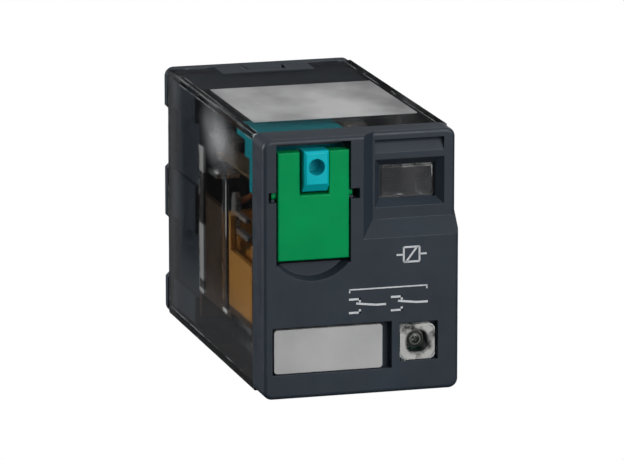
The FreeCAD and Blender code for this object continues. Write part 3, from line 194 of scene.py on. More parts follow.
def moulded_plastic(name, colour, roughness=0.45, grain_mm=0.09, grain_depth=0.004,
                    wear=0.25, edge_mm=0.09, shine=0.5, painted_shading=None):
    """Injection-moulded plastic: spark-eroded grain, uneven gloss and edges rubbed lighter."""
    n = Nodes(name)
    grain = n.noise(1.0 / grain_mm, 3.0)
    broad = n.noise(0.18, 4.0)
    normal = n.bump(grain, grain_depth, 0.6, n.rounded(edge_mm))
    tone = n.mix_colour(n.ramp(broad, 0.3, 0.7, 0.0, 1.0), shade(colour, 0.9), shade(colour, 1.1))
    scuffs = n.ramp(n.noise(2.2, 6.0, (1, 1, 1), 0.7), 0.45, 0.65, 0.2, 1.0)
    worn = n.math("MULTIPLY", n.edge_mask(edge_mm), scuffs)
    worn = n.math("MULTIPLY", worn, wear)
    rubbed = tuple(c * 0.6 + 0.25 for c in colour[:3]) + (1.0,)
    tone = n.mix_colour(worn, tone, rubbed)
    # Optional painted shade laid over the tone, as on the bobbin.
    if painted_shading:
        tone = painted_shading(n, tone)
    gloss = n.ramp(n.noise(0.6, 5.0), 0.3, 0.7, roughness - 0.06, roughness + 0.08)
    shader = n.add("ShaderNodeBsdfPrincipled", {"Base Color": tone, "Roughness": gloss,
                                                "Normal": normal, "IOR": 1.5,
                                                "Specular IOR Level": shine})
    return n.surface(shader)


def clear_plastic(name, tint, roughness=0.02, edge_mm=0.12, haze=0.03, light_tint=None,
                  edges=0.0, details=None):
    """Polished clear wall: refracts for the eye, and lets tinted light straight through."""
    n = Nodes(name)
    normal = n.bump(n.noise(0.35, 2.0), 0.012, 0.5, n.rounded(edge_mm))
    smears = n.ramp(n.noise(0.9, 6.0), 0.4, 0.7, roughness, roughness + 0.05)
    glass = n.add("ShaderNodeBsdfGlass", {"Color": tint, "IOR": 1.5, "Normal": normal,
                                          "Roughness": smears})
    dust = n.add("ShaderNodeBsdfDiffuse", {"Color": (0.5, 0.51, 0.53, 1)})
    film = n.ramp(n.noise(1.4, 7.0, (1, 0.5, 1), 0.65), 0.48, 0.8, 0.0, haze)
    body = n.add("ShaderNodeMixShader", {0: film, 1: glass, 2: dust})
    # Painted highlights along the edges: light grey streaks where polished edges catch the light.
    if edges:
        painted_edge_glint = n.add("ShaderNodeBsdfPrincipled", {"Base Color": (0.8, 0.81, 0.82, 1),
                                                 "Roughness": 0.2})
        glint_streaks = n.ramp(n.noise(0.45, 3.0, (1, 0.5, 1)), 0.45, 0.55, 0.0, edges)
        mask = n.math("MULTIPLY", n.edge_mask(0.3, 5.0), glint_streaks)
        body = n.add("ShaderNodeMixShader", {0: mask, 1: body, 2: painted_edge_glint})
    if details:
        body = details(n, body)
    through = n.add("ShaderNodeBsdfTransparent", {"Color": light_tint or tint})
    rays = n.add("ShaderNodeLightPath").outputs
    lets_by = n.math("MAXIMUM", rays["Is Shadow Ray"], rays["Is Diffuse Ray"])
    return n.surface(n.add("ShaderNodeMixShader", {0: lets_by, 1: body, 2: through}))


# Where the cover's details lie, in millimetres: RIB_FACE and RIB_LIP inward from the outside of
# the side walls, heights above the axis, depths behind the front face.
RIB_FACE = 1.05
REAR_RIB = (25.3, 26.9)
FRONT_RIB = (15.7, 17.3)
# Painted highlight bands along the rear rib: from, to, and how bright each is painted.
RIB_BANDS = ((-8.1, -7.7, 0.7), (-6.7, -0.6, 0.5), (5.1, 7.9, 0.5))
RIB_LIP = 0.62
RIB_HEIGHTS = (-8.2, 7.9)
BLOOM_DEPTH = 18.5
BLOOM_HEIGHT = 10.4
BLOOM_FLATNESS = 2.0
# The slot for the latch tab: half its width, and the depth where it starts.
SLOT_HALF = 5.2
SLOT_START = 35.8


def inside_range(n, position, low, high, soft=0.12):
    """One between two positions and zero outside them, with soft ends."""
    rise = n.ramp(position, low - soft, low + soft, 0.0, 1.0)
    fall = n.ramp(position, high - soft, high + soft, 1.0, 0.0)
    return n.math("MULTIPLY", rise, fall)


def cover_details(n, body):
    """Tones of the cover: painted highlights and painted shade on its ribs, a milky patch high on
    the walls, dust, and the tab's slot.
    """
    place = n.add("ShaderNodeSeparateXYZ", {0: n.place()}).outputs
    back = n.math("SUBTRACT", place["Y"], FRONT / MM)
    across = n.math("ABSOLUTE", place["X"])
    outside = COVER_HIGH.x / MM
    on_rib = inside_range(n, across, outside - RIB_FACE - 0.08, outside - RIB_LIP, 0.04)
    on_rib = n.math("MULTIPLY", on_rib, inside_range(n, place["Z"], *RIB_HEIGHTS))
    upright = n.add("ShaderNodeSeparateXYZ",
                    {0: n.add("ShaderNodeNewGeometry").outputs["Normal"]}).outputs["X"]
    side_on = n.math("GREATER_THAN", n.math("ABSOLUTE", upright), 0.8)
    rear = n.math("MULTIPLY", on_rib, inside_range(n, back, REAR_RIB[0] - 0.2, REAR_RIB[1]))
    front = n.math("MULTIPLY", on_rib, inside_range(n, back, FRONT_RIB[0] - 0.2, FRONT_RIB[1]))
    # Painted light on the rear rib's faces: painted highlight bands on painted near-black shade.
    painted_glow = 0.0
    for low, high, strength in RIB_BANDS:
        band = n.math("MULTIPLY", inside_range(n, place["Z"], low, high), strength)
        painted_glow = n.math("ADD", painted_glow, band)
    painted_rib_light = n.mix_colour(painted_glow, (0.004, 0.004, 0.004, 1), (0.85, 0.85, 0.83, 1))
    painted_rib_face = n.add("ShaderNodeBsdfPrincipled", {"Base Color": painted_rib_light, "Roughness": 0.3})
    body = n.add("ShaderNodeMixShader", {0: n.math("MULTIPLY", rear, 0.8), 1: body, 2: painted_rib_face})
    # Painted shade on the front rib's faces: near-black, with a painted highlight line and a
    # painted highlight at its foot.
    line = inside_range(n, back, FRONT_RIB[0], FRONT_RIB[0] + 0.45, 0.05)
    line = n.math("MULTIPLY", line, inside_range(n, place["Z"], 0.2, 6.0, 0.4))
    line = n.math("MULTIPLY", line, side_on)
    painted_foot = inside_range(n, place["Z"], -8.1, -7.7, 0.1)
    edge = n.mix_colour(n.math("MAXIMUM", line, painted_foot), (0.008, 0.009, 0.011, 1),
                        (0.85, 0.84, 0.8, 1))
    painted_dark_face = n.add("ShaderNodeBsdfPrincipled", {"Base Color": edge, "Roughness": 0.25})
    body = n.add("ShaderNodeMixShader",
                 {0: n.math("MULTIPLY", front, 0.85), 1: body, 2: painted_dark_face})
    middle = (0, FRONT / MM + BLOOM_DEPTH, BLOOM_HEIGHT * BLOOM_FLATNESS)
    spread = n.add("ShaderNodeVectorMath", {0: n.place((0, 1, BLOOM_FLATNESS)), 1: middle},
                   operation="DISTANCE").outputs["Value"]
    near = n.math("POWER", n.ramp(spread, 0.0, 9.0, 1.0, 0.0), 1.7)
    wisps = n.ramp(n.noise(0.25, 1.0, (1, 0.7, 1), 0.5), 0.30, 0.70, 0.15, 0.55)
    dusty = n.math("MAXIMUM", n.ramp(place["Z"], -4.0, -9.0, 0.0, 0.035),
                   n.ramp(back, 33.0, 37.0, 0.0, 0.06))
    bloom = n.math("MAXIMUM", n.math("MULTIPLY", near, wisps), dusty)
    milk = n.add("ShaderNodeBsdfDiffuse", {"Color": (0.55, 0.56, 0.58, 1)})
    body = n.add("ShaderNodeMixShader", {0: n.math("MULTIPLY", bloom, side_on), 1: body, 2: milk})
    slot = n.math("MULTIPLY", inside_range(n, place["X"], -SLOT_HALF, SLOT_HALF),
                  n.math("GREATER_THAN", back, SLOT_START))
    dull = n.add("ShaderNodeBsdfPrincipled", {"Base Color": (0.02, 0.028, 0.038, 1),
                                              "Roughness": 0.5})
    return n.add("ShaderNodeMixShader", {0: n.math("MULTIPLY", slot, 0.8), 1: body, 2: dull})


def metal(name, colour, roughness=0.28, grain=(1, 14, 1), tarnish=0.25, scratch=0.002):
    """Rolled or drawn metal with a brushed direction and patches of tarnish."""
    n = Nodes(name)
    lines = n.noise(3.0, 4.0, grain)
    patches = n.ramp(n.noise(0.7, 5.0), 0.4, 0.7, 0.0, tarnish)
    tone = n.mix_colour(patches, colour, shade(colour, 0.55))
    rough = n.ramp(lines, 0.3, 0.7, roughness - 0.08, roughness + 0.12)
    normal = n.bump(lines, scratch, 0.5, n.rounded(0.05))
    shader = n.add("ShaderNodeBsdfPrincipled", {"Base Color": tone, "Metallic": 0.85,
                                                "Roughness": rough, "Normal": normal})
    return n.surface(shader)


def coil_tape_film(name):
    """Amber polyester film over copper turns, which show as fine rings."""
    n = Nodes(name)
    turns = n.add("ShaderNodeTexWave", {"Vector": n.place(), "Scale": 1.15, "Distortion": 0.4,
                                        "Detail": 2.0},
                  wave_type="BANDS", bands_direction="Y").outputs["Fac"]
    amber = n.mix_colour(turns, (0.66, 0.24, 0.02, 1), (0.85, 0.36, 0.035, 1))
    blotch = n.ramp(n.noise(0.4, 4.0), 0.3, 0.7, 0.0, 0.35)
    amber = n.mix_colour(blotch, amber, (0.95, 0.50, 0.09, 1))
    normal = n.bump(turns, 0.03, 0.5)
    shader = n.add("ShaderNodeBsdfPrincipled",
                   {"Base Color": amber, "Roughness": 0.3, "Normal": normal,
                    "Coat Weight": 0.5, "Coat Roughness": 0.15})
    return n.surface(shader)


def enamelled_copper(name):
    n = Nodes(name)
    turns = n.add("ShaderNodeTexWave", {"Vector": n.place(), "Scale": 2.4, "Distortion": 0.6},
                  wave_type="BANDS", bands_direction="Y").outputs["Fac"]
    tone = n.mix_colour(turns, (0.32, 0.10, 0.035, 1), (0.75, 0.30, 0.12, 1))
    shader = n.add("ShaderNodeBsdfPrincipled",
                   {"Base Color": tone, "Metallic": 0.8, "Roughness": 0.32,
                    "Normal": n.bump(turns, 0.06, 0.8)})
    return n.surface(shader)


def print_ink(name):
    """Pad-printed light grey ink with slightly uneven cover."""
    n = Nodes(name)
    cover = n.ramp(n.noise(4.0, 4.0), 0.3, 0.7, 0.0, 1.0)
    tone = n.mix_colour(cover, (0.50, 0.52, 0.55, 1), (0.66, 0.68, 0.70, 1))
    return n.surface(n.add("ShaderNodeBsdfPrincipled", {"Base Color": tone, "Roughness": 0.55}))


def ribbed_frost(name):
    """Light grey frosted plastic of the grip field."""
    n = Nodes(name)
    cloud = n.ramp(n.noise(0.11, 4.0, (1, 0.6, 1)), 0.35, 0.65, 0.0, 1.0)
    tone = n.mix_colour(cloud, (0.24, 0.24, 0.245, 1), (0.58, 0.58, 0.58, 1))
    solid = n.add("ShaderNodeBsdfPrincipled", {"Base Color": tone, "Roughness": 0.34,
                                               "Normal": n.bump(n.noise(9.0, 2.0), 0.006, 0.5)})
    thin = n.add("ShaderNodeBsdfTransparent", {"Color": (0.6, 0.6, 0.62, 1)})
    return n.surface(n.add("ShaderNodeMixShader", {0: 0.22, 1: solid, 2: thin}))


def lamp_body(name):
    """Epoxy of the lamp: see-through, with painted light and dark rings standing in for the light
    its steps bend.
    """
    n = Nodes(name)
    low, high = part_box("status_lamp")
    axis = ((low.x + high.x) / 2 / MM, 0, (low.z + high.z) / 2 / MM)
    radius = n.add("ShaderNodeVectorMath", {0: n.place((1, 0, 1)), 1: axis},
                   operation="DISTANCE").outputs["Value"]
    # Painted light and dark rings across the epoxy.
    rings = n.math("SINE", n.math("MULTIPLY", radius, 15.0), 0.0)
    tone = n.mix_colour(n.ramp(rings, -0.6, 0.8, 0.0, 1.0), (0.03, 0.03, 0.03, 1),
                        (0.22, 0.22, 0.215, 1))
    solid = n.add("ShaderNodeBsdfPrincipled", {"Base Color": tone, "Roughness": 0.1, "IOR": 1.5})
    glass = n.add("ShaderNodeBsdfTransparent", {"Color": (0.75, 0.77, 0.76, 1)})
    share = n.ramp(radius, 0.2, 0.5, 0.25, 0.85)
    return n.surface(n.add("ShaderNodeMixShader", {0: share, 1: glass, 2: solid}))


def window_details(n, body):
    """Painted light on the pane: a grey veil, strongest in a soft upright band."""
    low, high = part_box("status_window")
    across = n.add("ShaderNodeSeparateXYZ", {0: n.place()}).outputs["X"]
    middle = (low.x + high.x) / 2 / MM
    painted_glow = n.ramp(n.math("ABSOLUTE", n.math("SUBTRACT", across, middle + 0.6)), 0.0, 1.6, 1.0, 0.0)
    painted_veil = n.add("ShaderNodeBsdfDiffuse", {"Color": (0.075, 0.075, 0.077, 1)})
    share = n.ramp(painted_glow, 0.0, 1.0, 0.30, 0.62)
    return n.add("ShaderNodeMixShader", {0: share, 1: body, 2: painted_veil})


def lens_details(n, body):
    """Painted highlights and shade in a mottled ring around the lens, standing in for the light
    its bevelled border bends.
    """
    low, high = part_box("lamp_lens")
    place = n.add("ShaderNodeSeparateXYZ", {0: n.place()}).outputs
    from_side = n.math("ABSOLUTE", n.math("SUBTRACT", place["X"], (low.x + high.x) / 2 / MM))
    from_level = n.math("ABSOLUTE", n.math("SUBTRACT", place["Z"], (low.z + high.z) / 2 / MM))
    out = n.math("POWER", n.math("ADD", n.math("POWER", from_side, 3.0),
                                 n.math("POWER", from_level, 3.0)), 1 / 3)
    ring = inside_range(n, out, 1.25, 1.95, 0.12)
    mottle = n.ramp(n.noise(0.8, 2.0, (1, 0.2, 1), 0.5), 0.36, 0.54, 0.0, 1.0)
    tone = n.mix_colour(mottle, (0.03, 0.03, 0.03, 1), (0.55, 0.55, 0.53, 1))
    painted_prism = n.add("ShaderNodeBsdfPrincipled", {"Base Color": tone, "Roughness": 0.12})
    return n.add("ShaderNodeMixShader", {0: n.math("MULTIPLY", ring, 0.75), 1: body, 2: painted_prism})


HOUSING = moulded_plastic("housing_plastic", (0.0215, 0.031, 0.0435, 1), 0.46, 0.07, 0.003, 0.18,
                          0.09, 0.36)
GREEN = moulded_plastic("door_green", (0.0, 0.285, 0.083, 1), 0.40, 0.06, 0.002, 0.06, 0.09, 0.08)
TEAL = moulded_plastic("button_teal", (0.0, 0.46, 0.53, 1), 0.38, 0.06, 0.002, 0.12, 0.09, 0.2)
LEGEND = moulded_plastic("legend_grey", (0.42, 0.42, 0.42, 1), 0.55, 0.05, 0.002, 0.1)
BLACK = moulded_plastic("insulator_black", (0.018, 0.019, 0.021, 1), 0.42, 0.08, 0.003, 0.15)
WHITE = moulded_plastic("flag_white", (0.62, 0.62, 0.58, 1), 0.45, 0.06, 0.002, 0.05)
BOBBIN = moulded_plastic("bobbin_amber", (0.78, 0.36, 0.07, 1), 0.35, 0.08, 0.003, 0.1, 0.09, 0.5,
                         painted_shading=bobbin_painted_shade)
BOARD = moulded_plastic("board_green", (0.012, 0.085, 0.04, 1), 0.3, 0.1, 0.004, 0.2)
CHIP = moulded_plastic("chip_black", (0.012, 0.012, 0.013, 1), 0.5, 0.05, 0.003, 0.2)
SLEEVE = moulded_plastic("lead_sleeve", (0.015, 0.015, 0.015, 1), 0.5, 0.1, 0.003, 0.0)
SMOKED = clear_plastic("smoked_clear", (0.78, 0.79, 0.80, 1), light_tint=(0.90, 0.90, 0.90, 1),
                       haze=0.012, edges=0.8, details=cover_details)
WINDOW = clear_plastic("window_clear", (0.86, 0.87, 0.88, 1), 0.10, 0.1, 0.06, edges=0.9,
                       details=window_details)
LENS = clear_plastic("lens_clear", (0.95, 0.96, 0.95, 1), 0.03, 0.3, 0.05, edges=0.9,
                     details=lens_details)
LAMP = lamp_body("lamp_epoxy")
TAPE = coil_tape_film("coil_tape")
COPPER = enamelled_copper("copper_wire")
IRON = metal("soft_iron", (0.50, 0.51, 0.52, 1), 0.34)
BLADE = metal("tinned_blade", (0.72, 0.72, 0.70, 1), 0.26)
SPRING = metal("spring_bronze", (0.70, 0.52, 0.30, 1), 0.28)
SILVER = metal("contact_silver", (0.86, 0.86, 0.84, 1), 0.2, (1, 1, 1), 0.35)
STEEL = metal("spring_steel", (0.56, 0.56, 0.57, 1), 0.25)
INK = print_ink("print_ink")
DIE = moulded_plastic("lamp_die", (0.75, 0.75, 0.68, 1), 0.4, 0.02, 0.001, 0.0)
FROST = ribbed_frost("ribbed_frost")

MATERIAL_OF_SLOT = {
    "housing_plastic": HOUSING, "smoked_clear": SMOKED, "clear_plastic": LENS, "door_green": GREEN,
    "button_teal": TEAL, "legend_grey": LEGEND, "insulator": BLACK, "flag_white": WHITE,
    "bobbin_plastic": BOBBIN, "coil_tape": TAPE, "copper_wire": COPPER, "soft_iron": IRON,
    "spring_metal": SPRING, "blade_metal": BLADE, "contact_silver": SILVER, "spring_steel": STEEL,
    "board_green": BOARD, "chip_black": CHIP, "lead_insulation": SLEEVE,
}


def dress_cad_nodes():
    special = {"status_window": WINDOW, "status_lamp": LAMP}
    for entry in frame["record"]["subparts"]:
        obj = NODES[entry["node"]]
        material = special.get(entry["node"], MATERIAL_OF_SLOT[entry["material_slot"]])
        for slot in obj.material_slots:
            slot.material = material
        if not obj.material_slots:
            obj.data.materials.append(material)


# ------------------------------------------------------------ pieces of detail

def mesh_piece(name, mesh_maker, material, body):
    mesh = bpy.data.meshes.new(name)
    bm = bmesh.new()
    mesh_maker(bm)
    bmesh.ops.recalc_face_normals(bm, faces=bm.faces)
    bm.to_mesh(mesh)
    bm.free()
    obj = bpy.data.objects.new(name, mesh)
    bpy.context.scene.collection.objects.link(obj)
    mesh.materials.append(material)
    if body is not None:
        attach(obj, body)
    return obj


def make_grip_field():
    """Field of fine ribs on top of the cover, running from side to side."""
    left, right = -8.8 * MM, 8.9 * MM
    start, end = depth(9.8), depth(27.5)
    floor = COVER_HIGH.z
    count, rise, base = 38, 0.07 * MM, 0.02 * MM
    pitch = (end - start) / count

    def build(bm):
        profile = [(start, floor - BEHIND), (start, floor + base)]
        for i in range(count):
            y = start + i * pitch
            profile.append((y + 0.18 * pitch, floor + base))
            profile.append((y + 0.42 * pitch, floor + base + rise))
            profile.append((y + 0.66 * pitch, floor + base + rise))
            profile.append((y + 0.92 * pitch, floor + base))
        profile += [(end, floor + base), (end, floor - BEHIND)]
        ends = []
        for x in (left, right):
            ends.append([bm.verts.new((x, y, z)) for y, z in profile])
        size = len(profile)
        for i in range(size):
            after = (i + 1) % size
            bm.faces.new((ends[0][i], ends[0][after], ends[1][after], ends[1][i]))
        bm.faces.new(ends[0])
        bm.faces.new(list(reversed(ends[1])))

    mesh_piece("grip_ribs", build, FROST, "housing")


def add_box(bm, low, high):
    """Closed box between two corners in millimetres: x, depth behind the front face, z."""
    corners = []
    for x in (low[0], high[0]):
        for y in (low[1], high[1]):
            for z in (low[2], high[2]):
                corners.append(bm.verts.new((x * MM, depth(y), z * MM)))
    faces = ((0, 1, 3, 2), (4, 6, 7, 5), (0, 4, 5, 1), (2, 3, 7, 6), (0, 2, 6, 4), (1, 5, 7, 3))
    for face in faces:
        bm.faces.new([corners[i] for i in face])


def add_tube(bm, points, radius, sides=8):
    """Closed round tube along points in metres."""
    rings = []
    for i, point in enumerate(points):
        before, after = points[max(i - 1, 0)], points[min(i + 1, len(points) - 1)]
        along = (after - before).normalized()
        helper = Vector((1, 0, 0)) if abs(along.x) < 0.9 else Vector((0, 0, 1))
        side = along.cross(helper).normalized()
        other = along.cross(side)
        ring = []
        for k in range(sides):
            angle = 2 * math.pi * k / sides
            offset = side * math.cos(angle) + other * math.sin(angle)
            ring.append(bm.verts.new(point + offset * radius))
        rings.append(ring)
    for first, second in zip(rings, rings[1:]):
        for k in range(sides):
            after = (k + 1) % sides
            bm.faces.new((first[k], first[after], second[after], second[k]))
    bm.faces.new(list(reversed(rings[0])))
    bm.faces.new(rings[-1])


def smooth(obj):
    for polygon in obj.data.polygons:
        polygon.use_smooth = True
    return obj


# How far the printed ink reaches to each side of the front face, in millimetres.
INK_THICK = 0.012


def add_stroke(bm, start, end, width):
    """Flat printed line between two points of the front face, in millimetres."""
    first, last = Vector((start[0], 0, start[1])), Vector((end[0], 0, end[1]))
    along = (last - first).normalized()
    across = Vector((-along.z, 0, along.x)) * width / 2
    outline = [first - across, last - across, last + across, first + across]
    front, back = [], []
    for corner in outline:
        front.append(bm.verts.new((corner.x * MM, depth(-INK_THICK), corner.z * MM)))
        back.append(bm.verts.new((corner.x * MM, depth(INK_THICK), corner.z * MM)))
    bm.faces.new(front)
    bm.faces.new(list(reversed(back)))
    for i in range(4):
        after = (i + 1) % 4
        bm.faces.new((front[i], back[i], back[after], front[after]))


def add_coil_sign(bm, left, bottom, right, top, width):
    """Rectangle with a slanted bar: the usual drawing of a relay coil."""
    middle = (bottom + top) / 2
    body_left, body_right = left + 0.24 * (right - left), right - 0.24 * (right - left)
    for start, end in (((body_left, bottom), (body_right, bottom)),
                       ((body_right, bottom), (body_right, top)),
                       ((body_right, top), (body_left, top)),
                       ((body_left, top), (body_left, bottom)),
                       ((left, middle), (body_left, middle)),
                       ((body_right, middle), (right, middle)),
                       ((body_left + 0.25, bottom), (body_right - 0.25, top))):
        add_stroke(bm, start, end, width)


def add_changeover_sign(bm, left, bottom, width, size):
    """One changeover contact: two fixed points on the left, and a blade from the common point."""
    upper, lower, middle = bottom + size, bottom, bottom + size / 2
    near, far = left + 0.9 * size, left + 2.0 * size
    add_stroke(bm, (left, upper), (near, upper), width)
    add_stroke(bm, (near - width / 2, upper + width / 2), (near - width / 2, upper - 0.35), width)
    add_stroke(bm, (left, lower), (near, lower), width)
    add_stroke(bm, (near - width / 2, lower - width / 2), (near - width / 2, lower + 0.35), width)
    add_stroke(bm, (far, middle), (far + 0.8 * size, middle), width)
    add_stroke(bm, (far, middle), (near - 0.5, upper - 0.45), width)


def make_prints():
    """Pad-printed signs on the front: a coil above, and two changeover contacts below."""
    def build_small(bm):
        add_coil_sign(bm, 3.75, 0.1, 7.0, 1.65, 0.2)

    def build_large(bm):
        for left in (-1.35, 3.15):
            add_changeover_sign(bm, left, -4.95, 0.22, 1.42)

    def build_links(bm):
        add_stroke(bm, (-1.35, -2.5), (7.1, -2.5), 0.14)
        for x in (-1.28, 7.03):
            add_stroke(bm, (x, -2.5), (x, -2.85), 0.14)

    mesh_piece("printed_coil_sign", build_small, INK, "housing")
    mesh_piece("printed_contact_sign", build_large, INK, "housing")
    mesh_piece("printed_frame_line", build_links, INK, "housing")


def make_lamp_detail():
    """Reflector cup, die and wire frame inside the lamp's clear epoxy."""
    low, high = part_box("status_lamp")
    x, z = (low.x + high.x) / 2, (low.z + high.z) / 2
    tip = low.y

    def build_cup(bm):
        # Radius and distance behind the lamp's tip, in millimetres, around the cup's section.
        rings = ((0.42, 1.15), (0.36, 1.15), (0.16, 1.42), (0.0, 1.42), (0.0, 1.75),
                 (0.30, 1.75), (0.42, 1.6))
        sides, loops = 24, []
        for radius, back in rings:
            if radius == 0.0:
                loops.append([bm.verts.new((x, tip + back * MM, z))])
                continue
            loops.append([bm.verts.new((x + radius * MM * math.cos(2 * math.pi * k / sides),
                                        tip + back * MM,
                                        z + radius * MM * math.sin(2 * math.pi * k / sides)))
                          for k in range(sides)])
        loops.append(loops[0])
        for first, second in zip(loops, loops[1:]):
            for k in range(sides):
                after = (k + 1) % sides
                if len(first) == 1 and len(second) == 1:
                    continue
                if len(first) == 1:
                    bm.faces.new((first[0], second[after], second[k]))
                elif len(second) == 1:
                    bm.faces.new((first[k], first[after], second[0]))
                else:
                    bm.faces.new((first[k], first[after], second[after], second[k]))

    def build_frame(bm):
        back = high.y - 0.05 * MM
        for side in (-0.3, 0.3):
            leg = x + side * MM
            add_tube(bm, [Vector((leg, tip + 1.78 * MM, z)), Vector((leg, back, z))], 0.12 * MM)

    def build_die(bm):
        half = 0.1
        mid_x, mid_z = x / MM, z / MM
        start = (tip - FRONT) / MM + 1.34
        add_box(bm, (mid_x - half, start, mid_z - half),
                (mid_x + half, start + 0.06, mid_z + half))

    smooth(mesh_piece("lamp_cup", build_cup, SILVER, "housing"))
    mesh_piece("lamp_frame", build_frame, SILVER, "housing")
    mesh_piece("lamp_die", build_die, DIE, "housing")


def helix_points(x, z, radius, start, end, turns, steps=28):
    points = []
    for i in range(int(turns * steps) + 1):
        angle = 2 * math.pi * i / steps
        # The end turns lie close together, as on a ground spring.
        share = i / (turns * steps)
        eased = share - 0.055 * math.sin(2 * math.pi * share)
        points.append(Vector((x + radius * math.cos(angle), start + (end - start) * eased,
                              z + radius * math.sin(angle))))
    return points


def make_return_spring():
    low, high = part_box("return_spring")
    x, z = (low.x + high.x) / 2, (low.z + high.z) / 2
    wire = 0.15 * MM
    radius = (high.z - low.z) / 2 - wire - 0.01 * MM
    points = helix_points(x, z, radius, low.y + 1.5 * wire, high.y - 1.5 * wire, 7.5)
    spring = smooth(mesh_piece("wound_return_spring", lambda bm: add_tube(bm, points, wire), STEEL,
                               "housing"))
    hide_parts("return_spring")
    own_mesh(spring)


def make_braids():
    """Flexible leads woven from bundles of fine copper wires."""
    for side, word in ((-1, "left"), (1, "right")):
        node = f"flexible_braid_{word}"
        low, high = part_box(node)
        radius = 0.35 * MM
        outer = (low.x if side < 0 else high.x) - side * radius
        inner = (high.x if side < 0 else low.x) + side * radius
        riser = Vector((outer, high.y - 0.12 * MM, low.z + radius))
        landing = Vector((inner, low.y + 0.1 * MM, high.z - radius))
        bow = Vector(((outer + inner) / 2, (riser.y + landing.y) / 2, riser.z + 1.1 * MM))

        def build(bm, riser=riser, landing=landing, bow=bow, radius=radius):
            count, strands = 40, 6
            centre = []
            for i in range(count + 1):
                t = i / count
                first = (1 - t) * (1 - 2 * t)
                last = t * (2 * t - 1)
                centre.append(riser * first + bow * 4 * t * (1 - t) + landing * last)
            for k in range(strands):
                points = []
                for i, middle in enumerate(centre):
                    ahead = centre[min(i + 1, count)] - centre[max(i - 1, 0)]
                    across = ahead.cross(Vector((1, 0, 0))).normalized()
                    other = ahead.normalized().cross(across)
                    angle = 2 * math.pi * (k / strands + 2.2 * i / count)
                    spread = radius * 0.58
                    turn = across * math.cos(angle) + other * math.sin(angle)
                    points.append(middle + turn * spread)
                add_tube(bm, points, radius * 0.36, 6)

        braid = smooth(mesh_piece(f"woven_braid_{word}", build, COPPER, None))
        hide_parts(node)
        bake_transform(braid)


# ------------------------------------------------------------- stage and view

CENTRE = Vector((0.0, (CAD_BOX[0][1] + CAD_BOX[1][1]) / 2, 0.0))


def seen_white(n, otherwise):
    """White to the eye, and another shader to every other ray."""
    white = n.add("ShaderNodeEmission", {"Color": (1, 1, 1, 1), "Strength": 1.0})
    eye = n.add("ShaderNodeLightPath").outputs["Is Camera Ray"]
    return n.surface(n.add("ShaderNodeMixShader", {0: eye, 1: otherwise, 2: white}))


def make_floor():
    """White paper that stays white in the picture and grey to the light."""
    n = Nodes("floor_paper")
    tone = n.mix_colour(n.noise(0.01, 2.0), (0.20, 0.20, 0.205, 1), (0.26, 0.26, 0.265, 1))
    paper = n.add("ShaderNodeBsdfDiffuse", {"Color": tone})
    black = n.add("ShaderNodeBsdfDiffuse", {"Color": (0.004, 0.004, 0.004, 1)})
    mirrored = n.add("ShaderNodeLightPath").outputs["Is Glossy Ray"]
    material = seen_white(n, n.add("ShaderNodeMixShader", {0: mirrored, 1: paper, 2: black}))
    mesh = bpy.data.meshes.new("floor")
    bm = bmesh.new()
    bmesh.ops.create_grid(bm, x_segments=2, y_segments=2, size=3.0)
    bm.to_mesh(mesh)
    bm.free()
    floor = bpy.data.objects.new("floor", mesh)
    floor.location.z = CAD_BOX[0][2] - 0.05 * MM
    mesh.materials.append(material)
    bpy.context.scene.collection.objects.link(floor)


def area_light(name, place, size, power, colour=(1, 1, 1)):
    light = bpy.data.lights.new(name, "AREA")
    light.shape = "RECTANGLE"
    light.size, light.size_y = size
    light.energy = power
    light.color = colour
    obj = bpy.data.objects.new(name, light)
    obj.location = CENTRE + Vector(place)
    obj.rotation_euler = (CENTRE - obj.location).to_track_quat("-Z", "Y").to_euler()
    bpy.context.scene.collection.objects.link(obj)


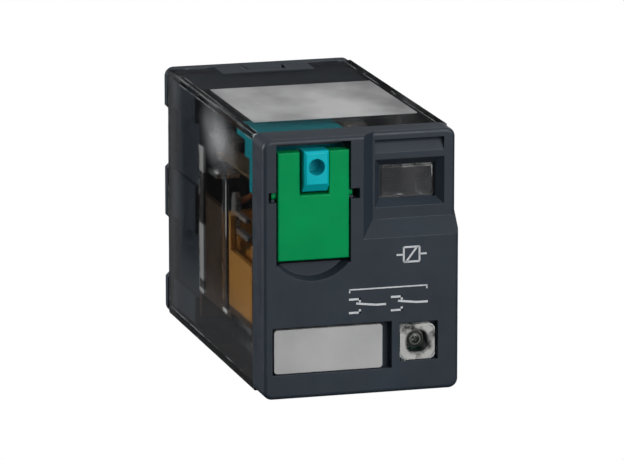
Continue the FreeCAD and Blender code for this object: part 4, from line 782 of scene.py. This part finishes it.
def make_world():
    """Studio: white to the eye, and to the light a dim sky with soft patches of cloud."""
    world = bpy.data.worlds.new("studio")
    world.use_nodes = True
    tree = world.node_tree
    tree.nodes.clear()
    n = Nodes.__new__(Nodes)
    n.tree = tree
    n.output = tree.nodes.new("ShaderNodeOutputWorld")
    direction = n.add("ShaderNodeTexCoord").outputs["Generated"]
    height = n.add("ShaderNodeSeparateXYZ", {0: direction}).outputs["Z"]
    sky = n.ramp(height, 0.12, 0.65, 0.012, 0.24)
    clouds = n.add("ShaderNodeTexNoise", {"Vector": direction, "Scale": 5.0, "Detail": 4.0})
    sky = n.math("MULTIPLY", sky, n.ramp(clouds.outputs["Fac"], 0.4, 0.6, 0.5, 1.6))
    eye = n.add("ShaderNodeLightPath").outputs["Is Camera Ray"]
    strength = n.math("MAXIMUM", sky, eye)
    n.feed(n.output.inputs["Surface"],
           n.add("ShaderNodeBackground", {"Color": (1, 1, 1, 1), "Strength": strength}))
    bpy.context.scene.world = world


def make_lights():
    area_light("key", (0.20, -0.62, 0.26), (0.45, 0.45), 3.9)
    area_light("top", (0.0, 0.05, 0.55), (0.5, 0.5), 0.45)
    area_light("left", (-0.50, 0.24, 0.12), (0.30, 0.35), 3.0)
    area_light("rear", (0.40, 0.42, 0.40), (0.30, 0.30), 1.0)


# The camera: sensor width and focal length in millimetres, turn and downward tilt in degrees, and
# its place in millimetres.
SENSOR_WIDTH, FOCAL_LENGTH = 36.0, 319.9
CAMERA_YAW, CAMERA_PITCH = 15.82, 12.83
CAMERA_PLACE = (-156.45, -574.0, 130.35)


def make_camera():
    """Long lens from the front left and a little above."""
    camera = bpy.data.cameras.new("camera")
    camera.sensor_width = SENSOR_WIDTH
    camera.lens = FOCAL_LENGTH
    camera.clip_start = 0.05
    obj = bpy.data.objects.new("camera", camera)
    yaw, pitch = math.radians(CAMERA_YAW), math.radians(CAMERA_PITCH)
    right = Vector((math.cos(yaw), -math.sin(yaw), 0))
    level = math.cos(pitch)
    look = Vector((math.sin(yaw) * level, math.cos(yaw) * level, -math.sin(pitch)))
    up = right.cross(look)
    rotation = Matrix((right, up, -look)).transposed()
    place = Vector(CAMERA_PLACE) * MM
    obj.matrix_world = Matrix.Translation(place) @ rotation.to_4x4()
    bpy.context.scene.collection.objects.link(obj)
    bpy.context.scene.camera = obj


dress_cad_nodes()
make_grip_field()
make_prints()
make_lamp_detail()
make_return_spring()
make_braids()
make_floor()
make_world()
make_lights()
make_camera()
bpy.context.scene.view_settings.view_transform = "Standard"
